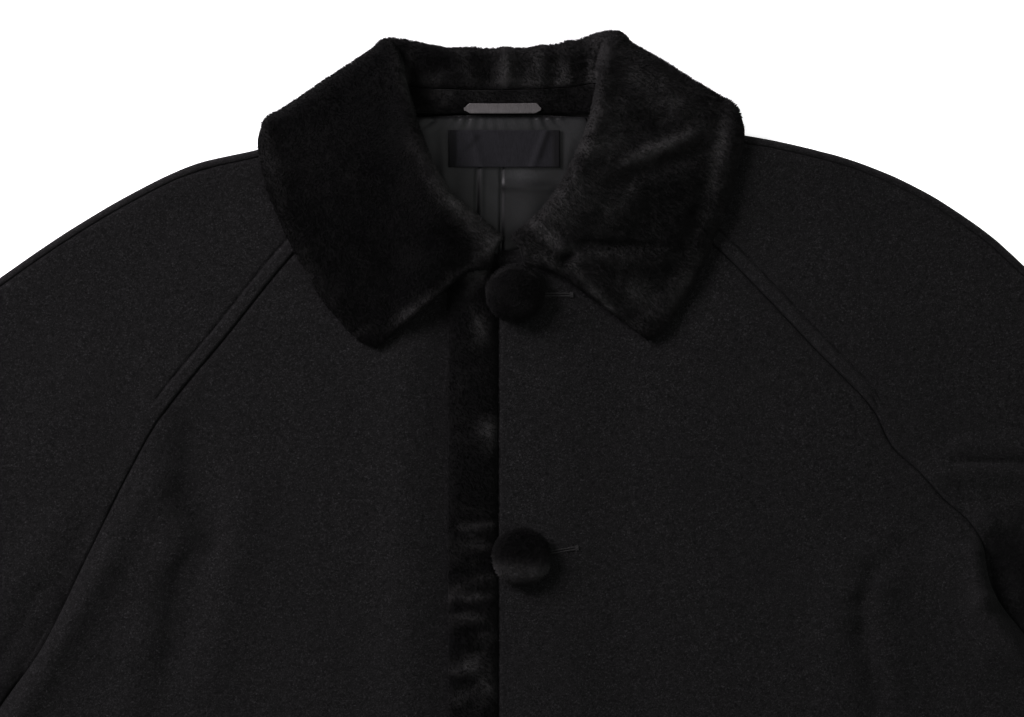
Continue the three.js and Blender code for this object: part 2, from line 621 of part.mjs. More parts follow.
const FALL_STOPS = [
  { v: FALL_START + SEAM_SHARE, thick: PRESSED }, { v: 0.72, thick: 4.4 }, { v: 1, thick: 5 },
  { v: 1.25, thick: 5.2 }, { v: 1.5, thick: 5.4 }, { v: 1.75, thick: 5.8 }, { v: 2, thick: PLUSH },
  { v: 2.14, thick: PLUSH }, { v: 2.32, thick: PLUSH }, { v: 2.52, thick: PLUSH },
  { v: 2.72, thick: PLUSH }, { v: 2.9, thick: PLUSH }, { v: 2.98, thick: 5 }, { v: 3, thick: 2.6 },
];

function collarFall() {
  const grid = [];
  for (let i = 0; i <= COLLAR_COLUMNS; i += 1) {
    const u = i / COLLAR_COLUMNS;
    grid.push(FALL_STOPS.map(({ v, thick }) => collarCell(u, v, thick)));
  }
  return wallGeometry(grid, PLUSH);
}

const STAND_STOPS = [
  { v: 0.01, thick: STAND_WALL }, { v: 0.24, thick: STAND_WALL },
  { v: FALL_START - SEAM_SHARE, thick: PRESSED },
];

function collarStand() {
  const grid = [];
  for (let i = 0; i <= COLLAR_COLUMNS; i += 1) {
    const u = i / COLLAR_COLUMNS;
    grid.push(STAND_STOPS.map(({ v, thick }) => collarCell(u, v, thick)));
  }
  return wallGeometry(grid, STAND_WALL);
}

// ---------------------------------------------------------------- inside the neck
// Half width of the back lining at a height below the neck seam.
const LINING_ROWS = [
  { y: -1.5, half: 56 }, { y: -10, half: 61 }, { y: -25, half: 66 }, { y: -45, half: 71 },
  { y: -70, half: 74 }, { y: -92, half: 70 }, { y: -112, half: 60 },
];
const PLEAT = { x: -14, depth: 1.2, wide: 7 };

function liningMiddle(x, y) {
  const pleat = PLEAT.depth * Math.exp(-(((x - PLEAT.x) / PLEAT.wide) ** 2)) * smooth((-y - 12) / 20);
  return lift(x, y) + WALL + SEAM_GAP + LINING_WALL / 2 + pleat * 0.5;
}

function backLining() {
  const steps = 14;
  const grid = LINING_ROWS.map(({ y, half }) => Array.from({ length: steps + 1 }, (_, j) => {
    const x = mix(-half, half, j / steps) - 2;
    return { point: vec(x, y, liningMiddle(x, y)), normal: vec(0, 0, 1) };
  }));
  return wallGeometry(grid, LINING_WALL);
}

const LABEL = { left: -36, right: 37.5, top: -10, bottom: -34.5 };

function neckLabel() {
  const grid = [];
  for (let i = 0; i <= 3; i += 1) {
    const y = mix(LABEL.top, LABEL.bottom, i / 3);
    grid.push(Array.from({ length: 9 }, (_, j) => {
      const x = mix(LABEL.left, LABEL.right, j / 8);
      const z = liningMiddle(x, y) + LINING_WALL / 2 + SEAM_GAP + 0.3 + TAPE_WALL / 2;
      return { point: vec(x, y, z), normal: vec(0, 0, 1) };
    }));
  }
  return wallGeometry(grid, TAPE_WALL);
}

const LOOP = { left: -26.5, right: 27.5, low: 0.03, high: 0.19, bowed: 1.2 };

function hangerLoop() {
  const steps = 10;
  const grid = [];
  for (let i = 0; i <= steps; i += 1) {
    const x = mix(LOOP.left, LOOP.right, i / steps);
    const u = 0.5 + x / 27 / (COLLAR.length - 1);
    const slack = LOOP.bowed * Math.sin((Math.PI * i) / steps);
    const rise = STAND_WALL / 2 + SEAM_GAP + TAPE_WALL / 2 + slack;
    grid.push([LOOP.low, LOOP.high].map((v) => {
      const cell = collarCell(u, v, TAPE_WALL);
      const up = cell.normal.z > 0 ? 1 : -1;
      cell.point.addScaledVector(cell.normal, up * rise);
      return cell;
    }));
  }
  return wallGeometry(grid, TAPE_WALL);
}

// ---------------------------------------------------------------- buttons
// A plush-covered dome on a flat back, with the sewn shank under it.
function button(shank) {
  const dome = [[0.86, 0], [0.98, 0.2], [1, 0.4], [0.94, 0.66], [0.75, 0.88], [0.4, 0.98], [0, 1]];
  const points = [[0, -shank], [SHANK_RADIUS, -shank], [SHANK_RADIUS, 0]];
  for (const [r, h] of dome) points.push([r * BUTTON_RADIUS, h * BUTTON_HEIGHT]);
  const geometry = new THREE.LatheGeometry(points.map(([r, z]) => new THREE.Vector2(r, z)), 24);
  geometry.rotateX(Math.PI / 2);
  return geometry;
}

// Where a button lies, on the wool and on the band's plush, and how long its shank is.
function buttonSeat(index) {
  const x = BUTTON_TOP.x + (index === 0 ? 0 : BUTTON_TOP.drift + index);
  const y = BUTTON_TOP.y - index * BUTTON_PITCH;
  let seat = 0;
  for (let i = 0; i < 12; i += 1) {
    const angle = (i * Math.PI) / 6;
    const [px, py] = [x + BUTTON_RADIUS * Math.cos(angle), y + BUTTON_RADIUS * Math.sin(angle)];
    const wool = LAPPED.height(px, py) + WALL / 2;
    const plush = px < BAND_SEAM + 1 ? LAPPED.height(px, py) - WALL / 2 + PLUSH - 1 : 0;
    seat = Math.max(seat, wool, plush);
  }
  let foot = 0;
  for (let i = 0; i < 8; i += 1) {
    const angle = (i * Math.PI) / 4;
    const [px, py] = [x + SHANK_RADIUS * Math.cos(angle), y + SHANK_RADIUS * Math.sin(angle)];
    foot = Math.max(foot, LAPPED.height(px, py) + WALL / 2);
  }
  return { place: vec(x, y, seat + SEAM_GAP), shank: seat - foot };
}

// ---------------------------------------------------------------- the coat
const WOOL = { color: 0x1a191a, roughness: 0.95, metalness: 0 };
const PILE = { color: 0x0f0f10, roughness: 0.9, metalness: 0 };
const SATIN = { color: 0x23252a, roughness: 0.4, metalness: 0 };
const TAPE = { color: 0x4e4a4a, roughness: 0.6, metalness: 0 };
const WOVEN = { color: 0x121316, roughness: 0.55, metalness: 0 };

const coat = new THREE.Group();

function add(name, geometry, finish, place = vec(0, 0)) {
  const mesh = new THREE.Mesh(geometry, new THREE.MeshStandardMaterial(finish));
  mesh.name = name;
  mesh.position.copy(place);
  coat.add(mesh);
}

add('back', back(), WOOL);
add('front_right', front('right', UNDERLAP_EDGE, FRONT), WOOL);
add('front_left', front('left', BAND_SEAM, LAPPED), WOOL);
add('front_band', frontBand(), PILE);
for (const side of Object.keys(SIDES)) {
  add(`sleeve_front_${side}`, sleeveFront(side), WOOL);
  add(`sleeve_back_${side}`, sleeveBack(side), WOOL);
}
add('collar_fall', collarFall(), PILE);
add('collar_stand', collarStand(), PILE);
add('back_lining', backLining(), SATIN);
add('neck_label', neckLabel(), WOVEN);
add('hanger_loop', hangerLoop(), TAPE);
for (let i = 0; i < BUTTON_COUNT; i += 1) {
  const { place, shank } = buttonSeat(i);
  add(`button_${i + 1}`, button(shank), PILE, place);
}

// Origin to the middle of the bounding box's base.
const box = new THREE.Box3().setFromObject(coat);
coat.position.set(-(box.min.x + box.max.x) / 2, -(box.min.y + box.max.y) / 2, -box.min.z);

export default coat;
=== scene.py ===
import math

import bmesh
import bpy
import numpy as np
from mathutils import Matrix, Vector


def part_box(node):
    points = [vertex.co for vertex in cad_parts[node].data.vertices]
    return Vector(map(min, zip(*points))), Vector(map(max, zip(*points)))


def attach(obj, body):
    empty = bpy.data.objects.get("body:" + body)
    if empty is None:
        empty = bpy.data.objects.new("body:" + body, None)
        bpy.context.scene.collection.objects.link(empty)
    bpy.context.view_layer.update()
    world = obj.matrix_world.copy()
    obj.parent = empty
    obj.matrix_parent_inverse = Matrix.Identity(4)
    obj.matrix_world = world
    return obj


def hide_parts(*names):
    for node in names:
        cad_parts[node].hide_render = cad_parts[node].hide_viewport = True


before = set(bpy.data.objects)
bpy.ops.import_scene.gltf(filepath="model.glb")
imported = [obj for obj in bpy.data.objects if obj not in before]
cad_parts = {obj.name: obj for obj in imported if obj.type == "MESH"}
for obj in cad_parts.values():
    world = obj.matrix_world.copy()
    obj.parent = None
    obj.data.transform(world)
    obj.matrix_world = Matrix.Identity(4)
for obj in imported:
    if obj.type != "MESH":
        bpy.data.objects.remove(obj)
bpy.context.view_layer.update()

MM = 0.001

# ---------------------------------------------------------------- sizes, as the solids have them
WALL = 3.0
PLUSH = 6.0
STAND_WALL = 3.2
LINING_WALL = 1.0
TAPE_WALL = 0.8
SEAM_GAP = 0.3
LAYER_GAP = 0.9
EDGE_RADIUS = 3.4
SEAM_INSET = 4.9
TURN_WIDTH = 5.0
LOFT = 1.4
EDGE_LOFT = 2 * EDGE_RADIUS - WALL - LAYER_GAP
LINING_PAD = 1.4
COLLAR_LIFT = 6.6
LIFT_RUN = 95.0
UNDER_REACH = 63.0
UNDER_CURVE = 50.0
UNDER_HALF = 160.0
LAP_EDGE = -36.3
BAND_SEAM = -3.3
UNDERLAP_EDGE = 30.0
LAP_RISE = WALL + 0.5
LAP_RUN = 50.0
BUTTON_RADIUS = 19.8
BUTTON_HEIGHT = 9.0
FALL_START = 0.45
SEAM_SHARE = 0.009
NECK_CROWDING = 1.5
PIT_CROWDING = 1.4
LEAF_GAP = 0.9
LEAF_CROWN = 2.0
CREST_INSET = 2.6
HEM_Y = -970.0
BAND_TOP = -95.0
LABEL = {"left": -36.0, "right": 37.5, "top": -10.0, "bottom": -34.5}

SIDES = {
    "right": {
        "overarm": [
            (-72, 3), (-115, -11), (-163, -23), (-205.3, -33), (-247.5, -52.8), (-289.7, -77.9),
            (-332, -106.9), (-400, -158), (-470, -218), (-560, -307), (-640, -397), (-684, -450),
        ],
        "frontRaglan": [
            (-68, -34), (-105, -59), (-140.6, -93.7), (-183, -146), (-225.7, -198.7),
            (-246.2, -234.3), (-275.9, -293.7), (-305.6, -353.1), (-332, -390.1), (-352, -422),
        ],
        "backRaglan": [(-50, -1), (-95, -50), (-165, -135), (-240, -250), (-300, -345), (-352, -422)],
        "underarm": [(-352, -422), (-366, -431), (-456, -499), (-560, -580)],
        "side": [(-352, -422), (-356, -442), (-366, -540), (-388, -720), (-420, -935)],
    },
    "left": {
        "overarm": [
            (67, 3), (110, -6), (160, -13.5), (196, -20.5), (238.3, -32.3), (280.5, -51.5),
            (322.7, -79.9), (343.9, -99), (400, -150), (470, -222), (540, -305), (605, -392),
            (655, -465),
        ],
        "frontRaglan": [
            (62, -34), (100, -55), (145.2, -91.1), (169.6, -115.5), (207, -155), (244.2, -194),
            (257.4, -219.1), (276.5, -236.9), (291.7, -254.1), (306.9, -267.3), (316.5, -282),
            (321.5, -308), (331, -326), (344, -342), (358, -364), (364, -388),
        ],
        "backRaglan": [(46, -1), (90, -48), (160, -130), (235, -235), (306, -319), (350, -367), (364, -388)],
        "underarm": [(364, -388), (376, -399), (436, -478), (508, -572)],
        "side": [(364, -388), (367, -410), (373, -520), (392, -700), (424, -932)],
    },
}
OUTWARD = {"right": -1, "left": 1}
ACROSS_PIT = 0.6        # share of the over-arm seam that lies across from the armpit
PIT_ROW_SHARE = 0.62    # share of the raglan seam in its first half of rows
HEM = [(-420, -935), (-220, -962), (0, -970), (220, -960), (424, -932)]
FRONT_NECK = {
    "right": [(-68, -34), (-62, -56), (-44, -76), (-18, -89), (UNDERLAP_EDGE, -96)],
    "left": [(62, -34), (57, -54), (40, -74), (18, -87), (BAND_SEAM, -90)],
}
BACK_NECK = [(-50, -1), (-25, 0), (0, 0), (24, 0), (46, -1)]

# Folds of the front layer: x1, y1, x2, y2, wide, high. The first ones are in the solids too.
FOLDS = [
    (-210, -212, -196, -276, 20, -1.6), (-196, -276, -223, -361, 18, -1.8), (-172, -250, -186, -350, 20, 1.8),
    (257, -284, 236, -315, 16, 2.6), (236, -315, 246, -376, 18, 3.2), (290, -233, 372, -233, 11, 3.6),
    (296, -218, 372, -216, 12, -1.8), (300, -292, 326, -352, 15, 5), (334, -286, 352, -330, 15, -2.4),
    (-255, -292, -322, -398, 20, 2.8), (-306, -322, -345, -392, 15, -2.2), (-250, -520, -290, -930, 30, 3.2),
    (-130, -600, -150, -950, 28, 2.2), (150, -560, 175, -950, 28, 2.4), (268, -500, 310, -930, 30, 3.4),
    (-420, -240, -400, -420, 22, 2.8), (-560, -350, -500, -470, 22, 2.4), (440, -260, 400, -410, 22, 2.8),
    (570, -400, 470, -470, 22, 2.6),
]
FINE_FOLDS = [
    # soft valley on the wearer's right front: a ridge on its left, then a slope away from the light
    (-226, -196, -228, -246, 17, 2.6), (-228, -246, -212, -278, 16, 2.3), (-212, -278, -228, -304, 14, 1.5),
    (-228, -304, -236, -350, 16, 2.4), (-236, -350, -252, -420, 17, 2.0), (-206, -210, -209, -246, 9, -1.0),
    (-209, -246, -195, -278, 9, -1.4), (-195, -280, -212, -302, 8, -1.4), (-212, -302, -216, -345, 9, -1.4),
    (-216, -345, -230, -400, 9, -1.2), (-184, -306, -196, -372, 15, 1.4), (-176, -262, -182, -292, 13, 1.8),
    # curved crease on the wearer's left front
    (262, -284, 244, -302, 8, -2.2), (244, -302, 237, -321, 7.5, -2.8), (237, -321, 238, -343, 7.5, -3.2),
    (238, -343, 246, -378, 8, -3.4), (246, -378, 254, -420, 9, -3.0), (219, -300, 216, -350, 15, 1.4),
    (215, -350, 227, -420, 13, 1.8), (256, -316, 262, -372, 13, 1.0),
    # creases of the sleeve above the wearer's left armpit
    (298, -229, 378, -229.5, 2.6, -3.4), (304, -218, 378, -216, 8, 3.0), (296, -239, 380, -240, 7, 1.6),
    (332, -255, 352, -256, 7, 1.4), (312, -250, 322, -268, 6, 1.6),
    # raised body edge and the hollow beyond it
    (311, -290, 316, -318, 7, 6.0), (316, -322, 344, -360, 7, 7.0), (328, -286, 330, -318, 7.5, -7.0),
    (334, -300, 352, -340, 9, -7.0), (346, -276, 358, -300, 8, -4.0), (366, -262, 386, -340, 12, 5.0),
    (322, -319, 356, -324, 4, 2.6), (318, -266, 334, -276, 7, 2.6),
    # the same on the wearer's right, where the sleeve dips along the seam
    (-240, -252, -262, -296, 9, 1.6), (-262, -296, -322, -400, 9, 3.0), (-272, -268, -300, -330, 8, -1.6),
    (-296, -318, -342, -402, 8, -4.6), (-296, -270, -352, -370, 13, 1.8), (-336, -372, -350, -396, 7, -3.0),
    # the right front dips beside the plush band
    (-66, -160, -66, -900, 18, 3.8), (-108, -200, -114, -480, 26, 0.9),
    # broad unevenness
    (-150, -330, -120, -420, 26, 0.8), (120, -230, 200, -330, 34, 0.7), (60, -300, 90, -400, 30, -0.7),
    (-270, -150, -300, -230, 24, 0.9), (-240, -110, -300, -170, 20, -0.5), (150, -180, 170, -240, 26, -0.6),
    (230, -90, 290, -170, 26, 0.7), (-470, -330, -430, -420, 12, -1.4), (460, -330, 420, -420, 12, -1.4),
    (-600, -440, -540, -520, 12, 1.2), (600, -450, 520, -500, 12, 1.2), (-250, -540, -280, -900, 10, 1.5),
    (262, -540, 296, -900, 10, 1.5), (-128, -640, -140, -940, 9, 1.2), (160, -600, 178, -940, 9, 1.2),
]
# Painted shade in creases, in the hollows and beside the plush band: x1, y1, x2, y2, wide, share of the light
# lost.
CREASE_SHADES = [
    (308, -227.5, 378, -228, 1.5, 0.32), (300, -223, 378, -223, 5, 0.12), (244, -300, 237, -340, 3.5, 0.08),
    (237, -340, 246, -385, 3.5, 0.1), (-210, -212, -214, -248, 10, 0.12), (-214, -248, -200, -279, 9, 0.13),
    (-199, -281, -214, -301, 6, 0.13), (-214, -301, -218, -348, 9, 0.11), (-42, -125, -42, -900, 10, 0.2),
]
# Painted shade in the armpit hollows and along the sleeves' seams, in the same columns.
SLEEVE_SHADES = [
    (326, -284, 327, -318, 8, 0.55), (338, -288, 352, -322, 14, 0.64), (326, -327, 352, -331, 6, 0.4),
    (338, -340, 352, -352, 6, 0.5), (324, -320, 352, -323, 1.3, 0.35), (352, -300, 364, -350, 10, 0.5),
    (-282, -300, -342, -410, 6, 0.3), (-322, -372, -350, -410, 6, 0.45), (-258, -254, -282, -300, 5, 0.14),
    (342, -262, 352, -280, 8, 0.2),
]

# Key sections of the collar: roll x, y, z, radius, turn, edge x, y, neck x, y, z.
COLLAR = np.array([
    (2, -80.5, 21.5, 3.4, 90, -84.5, -155, -7, -93.5, 17.5),
    (-7.5, -73.5, 23.5, 3.6, 90, -97, -150, -25, -87, 17.5),
    (-19.5, -63.5, 27, 4.2, 90, -109, -137, -40, -78, 17.5),
    (-35, -49.5, 31, 5, 90, -121, -122, -54.5, -66, 17.8),
    (-46, -30, 33, 5, 90, -136, -96, -62.5, -46, 18),
    (-55, -8, 32, 5.5, 90, -147, -75, -64.5, -26, 18),
    (-62, 14, 27, 6.5, 90, -157, -50, -65.5, -11, 17.5),
    (-68, 32, 21.5, 5.5, 90, -162, -28, -66, -4, 16),
    (-71.5, 42, 17, 5, 90, -162.5, -16, -65, -1, 15),
    (-74, 49, 12, 6, 0, -158.5, -6.5, -62, 1, 12.5),
    (-67, 48.5, 8, 5, -90, -149, -12, -56, 1, 10.6),
    (-52, 46, 8, 5, -90, -118, -36, -47, 0.8, 9.6),
    (-28, 44.5, 8, 5, -90, -60, -55, -25, 0.8, 9.4),
    (0, 44, 8, 5, -90, 0, -62, 0, 0.8, 9.4),
    (28, 45.5, 8, 5, -90, 60, -55, 24, 0.8, 9.4),
    (49, 48, 8, 5, -90, 118, -34, 43, 0.8, 9.6),
    (65, 52.5, 8, 5, -90, 146, -3, 51, 1, 10.6),
    (71.5, 53, 12, 6, 0, 154.5, 3.5, 57, 1, 12.5),
    (69, 47, 17, 5, 90, 159, -5, 60, -1, 14.5),
    (66, 35, 21.5, 5.5, 90, 160, -17, 61, -4, 16),
    (61, 15, 27, 6.5, 90, 154, -43, 60.5, -11, 17.5),
    (56, -6, 32, 5.5, 90, 148, -65, 59.5, -26, 18),
    (47, -28, 33, 5, 90, 140, -83, 57.5, -46, 18.5),
    (34.5, -49.5, 31, 5, 90, 129, -108, 51, -62, 20),
    (23, -65, 27, 4.2, 90, 118, -126, 39, -74, 21),
    (12.5, -74, 24.5, 3.6, 90, 108, -143, 26, -82, 21.8),
    (3.2, -79.8, 23.5, 3.4, 90, 97, -150, 10.5, -88, 21.8),
], float)


# ---------------------------------------------------------------- small helpers
def mix(a, b, t):
    return a + (b - a) * t


def smooth(t):
    c = np.clip(t, 0, 1)
    return c * c * (3 - 2 * c)


def bell(distance, wide):
    return np.exp(-((distance / wide) ** 2))


def unit(v):
    return v / np.maximum(np.linalg.norm(v, axis=-1, keepdims=True), 1e-9)


def stack(*parts):
    return np.stack(np.broadcast_arrays(*parts), -1)


class PlanCurve:
    """A centripetal Catmull-Rom curve through plan points, read by share of its length."""

    def __init__(self, points, fine=60):
        p = np.array(points, float)
        p = np.vstack([2 * p[0] - p[1], p, 2 * p[-1] - p[-2]])
        t = np.linspace(0, 1, fine, endpoint=False)[:, None]
        pieces = []
        for a, b, c, d in zip(p[:-3], p[1:-2], p[2:-1], p[3:]):
            da, db, dc = (math.sqrt(np.linalg.norm(w)) for w in (b - a, c - b, d - c))
            m = db * ((b - a) / da - (c - a) / (da + db) + (c - b) / db)
            n = db * ((c - b) / db - (d - b) / (db + dc) + (d - c) / dc)
            pieces.append(b + m * t + (3 * (c - b) - 2 * m - n) * t**2 + (2 * (b - c) + m + n) * t**3)
        self.dense = np.vstack(pieces + [p[-2:-1]])
        run = np.linalg.norm(np.diff(self.dense, axis=0), axis=1)
        self.length = run.sum()
        self.share = np.concatenate([[0], np.cumsum(run)]) / self.length

    def at(self, share):
        return stack(*(np.interp(share, self.share, self.dense[:, k]) for k in (0, 1)))

    def normal(self, share, step=0.004):
        t = unit(self.at(np.clip(share + step, 0, 1)) - self.at(np.clip(share - step, 0, 1)))
        return stack(-t[..., 1], t[..., 0])

    def polyline(self, steps):
        return self.at(np.linspace(0, 1, steps + 1))


def segment_distance(x, y, x1, y1, x2, y2):
    dx, dy = x2 - x1, y2 - y1
    t = np.clip(((x - x1) * dx + (y - y1) * dy) / (dx * dx + dy * dy), 0, 1)
    return np.hypot(x - x1 - t * dx, y - y1 - t * dy)


def polyline_distance(x, y, line):
    """Distance from each point to a polyline, and the plan normal to its nearest segment's right."""
    best = np.full(np.shape(x), 1e9)
    side = np.zeros(np.shape(x) + (2,))
    for (x1, y1), (x2, y2) in zip(line[:-1], line[1:]):
        d = segment_distance(x, y, x1, y1, x2, y2)
        nearer = d < best
        best = np.where(nearer, d, best)
        side[nearer] = unit(np.array([y2 - y1, x1 - x2]))
    return best, side


LATTICE = 128           # points of the noise before it repeats
LATTICE_START = 500     # keeps the noise's places above zero


def value_noise(x, y, size, seed):
    """Smooth noise from -1 to 1 with features of a given size, the same on every run."""
    lattice = np.random.default_rng(seed).uniform(-1, 1, (LATTICE, LATTICE))
    fx, fy = x / size + LATTICE_START, y / size + LATTICE_START
    ix, iy = np.floor(fx).astype(int), np.floor(fy).astype(int)
    tx, ty = smooth(fx - ix), smooth(fy - iy)
    at = lambda i, j: lattice[(ix + i) % LATTICE, (iy + j) % LATTICE]
    return mix(mix(at(0, 0), at(1, 0), tx), mix(at(0, 1), at(1, 1), tx), ty)


CURVES = {side: {name: PlanCurve(line) for name, line in plan.items()} for side, plan in SIDES.items()}
HEM_CURVE = PlanCurve(HEM)
TURNED_EDGES = [
    np.vstack([CURVES[side][first].polyline(30)[::-1], CURVES[side][then].polyline(30)[1:]])
    for side, first, then in (("right", "underarm", "side"), ("left", "side", "underarm"))
]
SHOULDERS = [CURVES[side]["overarm"].polyline(36) for side in SIDES]


def into_sleeve(side, share):
    normal = CURVES[side]["overarm"].normal(share)
    return np.where(normal[..., 1:] > 0, -normal, normal)


def overarm_seam(side):
    shares = np.linspace(0, 1, 60)
    return CURVES[side]["overarm"].at(shares) + into_sleeve(side, shares) * (SEAM_INSET + SEAM_GAP / 2)


SEAMS = [CURVES[side]["frontRaglan"].polyline(60) for side in SIDES] + [overarm_seam(s) for s in SIDES]


# ---------------------------------------------------------------- heights of the layers
def lift(x, y):
    """How far the collar folded under the coat raises it."""
    across = np.minimum(np.abs(x) / UNDER_HALF, 1.2)
    below = UNDER_CURVE * across * across - UNDER_REACH - y
    beside = np.abs(x) - UNDER_HALF - 5
    return COLLAR_LIFT * (1 - smooth(np.maximum(below, beside) / LIFT_RUN))


PAD_Y, PAD_HALF_X, PAD_HALF_Y = -55, 95, 75     # where the lining raises the fronts
SHOULDER_REACH, TURN_REACH = 26, 20             # how far in the edges shape the front


def lining_pad(x, y):
    return LINING_PAD * (1 - smooth((np.hypot(x / PAD_HALF_X, (y - PAD_Y) / PAD_HALF_Y) - 1) / 0.5))


def fold_height(x, y, folds):
    height = np.zeros(np.shape(x))
    for *line, wide, high in folds:
        height = height + high * bell(segment_distance(x, y, *line), wide)
    return height


def edge_distances(x, y):
    """Distances to the shoulders and to the turned edges, and the way out of the turned edges."""
    shoulder = np.minimum(*(polyline_distance(x, y, line)[0] for line in SHOULDERS))
    (one, out_one), (two, out_two) = (polyline_distance(x, y, line) for line in TURNED_EDGES)
    return shoulder, np.minimum(one, two), np.where((one < two)[..., None], out_one, out_two)


def front_middle(x, y, fine=True):
    slack = LOFT + fold_height(x, y, FOLDS)
    if fine:
        slack = slack + fold_height(x, y, FINE_FOLDS)
        slack = slack + 0.35 * value_noise(x, y, 70, 3) + 0.16 * value_noise(x, y, 24, 4)
    lying = 0.5 * (slack + np.sqrt(slack * slack + 0.4))
    shoulder, turned, _ = edge_distances(x, y)
    air = mix(lying, EDGE_LOFT, np.maximum(bell(shoulder, SHOULDER_REACH), bell(turned, TURN_REACH)))
    return lift(x, y) + 1.5 * WALL + LAYER_GAP + lining_pad(x, y) + air


def lapped_middle(x, y):
    return front_middle(x, y) + LAP_RISE * (1 - smooth((x - UNDERLAP_EDGE - 4) / LAP_RUN))


def back_middle(x, y):
    return lift(x, y) + WALL / 2


# A layer: the height of its middle, and the way it faces.
FRONT = (front_middle, 1)
LAPPED = (lapped_middle, 1)
BACK = (back_middle, -1)


def layer_points(x, y, layer):
    """Points of a layer's middle surface and their outward normals."""
    height, facing = layer
    step = 0.6
    slope_x = (height(x + step, y) - height(x - step, y)) / (2 * step)
    slope_y = (height(x, y + step) - height(x, y - step)) / (2 * step)
    normal = facing * unit(stack(-slope_x, -slope_y, 1.0))
    full = height(x, y)
    _, distance, outward = edge_distances(x, y)
    distance = np.where(distance < 0.2, 0, distance)
    meet = lift(x, y) + WALL / 2 + EDGE_RADIUS + facing * SEAM_GAP / 2
    cosine = np.clip(1 - distance / TURN_WIDTH, 0, 1)
    sine = np.sqrt(1 - cosine**2)
    z = np.where(distance < TURN_WIDTH, mix(meet, full, sine), full)
    upright = facing * sine / np.maximum(np.abs(full - meet), 0.5)
    turned = unit(np.concatenate([outward * (cosine / TURN_WIDTH)[..., None], upright[..., None]], -1))
    return stack(x, y, z), np.where((distance < TURN_WIDTH)[..., None], turned, normal)


# ---------------------------------------------------------------- meshes
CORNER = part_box("neck_label")[0]
PLACE = np.array([CORNER[0] - LABEL["left"] * MM, CORNER[1] - LABEL["bottom"] * MM, 0.0])


def new_object(name, data):
    obj = bpy.data.objects.new(name, data)
    bpy.context.scene.collection.objects.link(obj)
    return obj


def add_mesh(name, points, faces, material, values=None):
    """A Blender object from points in millimetres; values are named numbers, one for each point."""
    mesh = bpy.data.meshes.new(name)
    points = np.maximum(points, (-1e6, -1e6, 0.0))
    mesh.from_pydata((points * MM + PLACE).tolist(), [], faces)
    mesh.shade_smooth()
    for label, numbers in (values or {}).items():
        mesh.attributes.new(label, "FLOAT", "POINT").data.foreach_set("value", np.ravel(numbers))
    mesh.materials.append(material)
    obj = new_object(name, mesh)
    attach(obj, "root")
    return obj


def quads(*corners):
    return np.stack(corners, -1).reshape(-1, 4)


def grid_faces(rows, columns):
    """Faces of a closed wall: outer sheet, inner sheet and four rims."""
    top = np.arange(rows * columns).reshape(rows, columns)
    low = top + rows * columns
    return np.vstack([
        quads(top[:-1, :-1], top[:-1, 1:], top[1:, 1:], top[1:, :-1]),
        quads(low[:-1, :-1], low[1:, :-1], low[1:, 1:], low[:-1, 1:]),
        quads(top[:-1, 0], top[1:, 0], low[1:, 0], low[:-1, 0]),
        quads(top[1:, -1], top[:-1, -1], low[:-1, -1], low[1:, -1]),
        quads(top[0, 1:], top[0, :-1], low[0, :-1], low[0, 1:]),
        quads(top[-1, :-1], top[-1, 1:], low[-1, 1:], low[-1, :-1]),
    ])


def wall(name, points, normals, thick, material, relief, values):
    """A closed wall of cloth from a grid of middle points. relief moves its outer side."""
    shape = points.shape[:2]
    thick = np.broadcast_to(thick, shape)[..., None]
    outer = points + normals * (thick / 2 + np.broadcast_to(relief, shape)[..., None])
    inner = points - normals * thick / 2
    faces = grid_faces(*shape)
    both = np.concatenate([outer.reshape(-1, 3), inner.reshape(-1, 3)])
    a, b, c, d = (both[faces[:, k]] for k in range(4))
    if np.einsum("ij,ij->i", a, np.cross(b, c) + np.cross(c, d)).sum() < 0:
        faces = faces[:, ::-1]
    values = {k: np.tile(np.ravel(v), 2) for k, v in values.items()}
    return add_mesh(name, both, faces.tolist(), material, values), outer


# ---------------------------------------------------------------- rows of the sewing pattern
RAGLAN_ROWS = 120
ROWS_BELOW = {"underarm": 44, "side": 56}
HEAD = np.array([0, 0.5, 1.1, 1.9, 3, 4.6])
SHORT_TAIL = np.array([8.2, 6.8, 5, 4.2, 3.3, 2.4, 1.5, 0.8, 0.3, 0])
TAIL = np.concatenate([[20, 17, 15, 13.4, 12.4, 11.7, 11.1, 10.5, 9.9, 9.2], SHORT_TAIL])
FREE_TAIL = np.array([5, 3.2, 2, 1.1, 0.5, 0])
FRONT_STEPS, BACK_STEPS, SLEEVE_BACK_STEPS, SLEEVE_STEPS, SLEEVE_CROWDING = 108, 26, 14, 90, 1.35
WRAP_STEPS = 13         # columns of the back sleeve that turn over the shoulder


def raglan_share(k):
    return np.interp(k, [0, RAGLAN_ROWS / 2, RAGLAN_ROWS], [0, PIT_ROW_SHARE, 1])


def below_share(k, lower):
    return (np.maximum(k - RAGLAN_ROWS, 0) / ROWS_BELOW[lower]) ** PIT_CROWDING


def boundary(side, seam, lower):
    """Row points down a raglan seam and on along an edge, and the shift that opens the seam."""
    k = np.arange(RAGLAN_ROWS + ROWS_BELOW[lower] + 1)
    curve = CURVES[side][seam]
    on_seam = (k <= RAGLAN_ROWS)[:, None]
    points = np.where(on_seam, curve.at(raglan_share(k)), CURVES[side][lower].at(below_share(k, lower)))
    normal = curve.normal(raglan_share(k))
    toward = np.array([OUTWARD[side], 0.5]) * (1 if lower == "underarm" else -1)
    sign = np.sign((normal * toward).sum(-1, keepdims=True))
    return points, np.where(on_seam, normal * sign * SEAM_GAP / 2, 0)


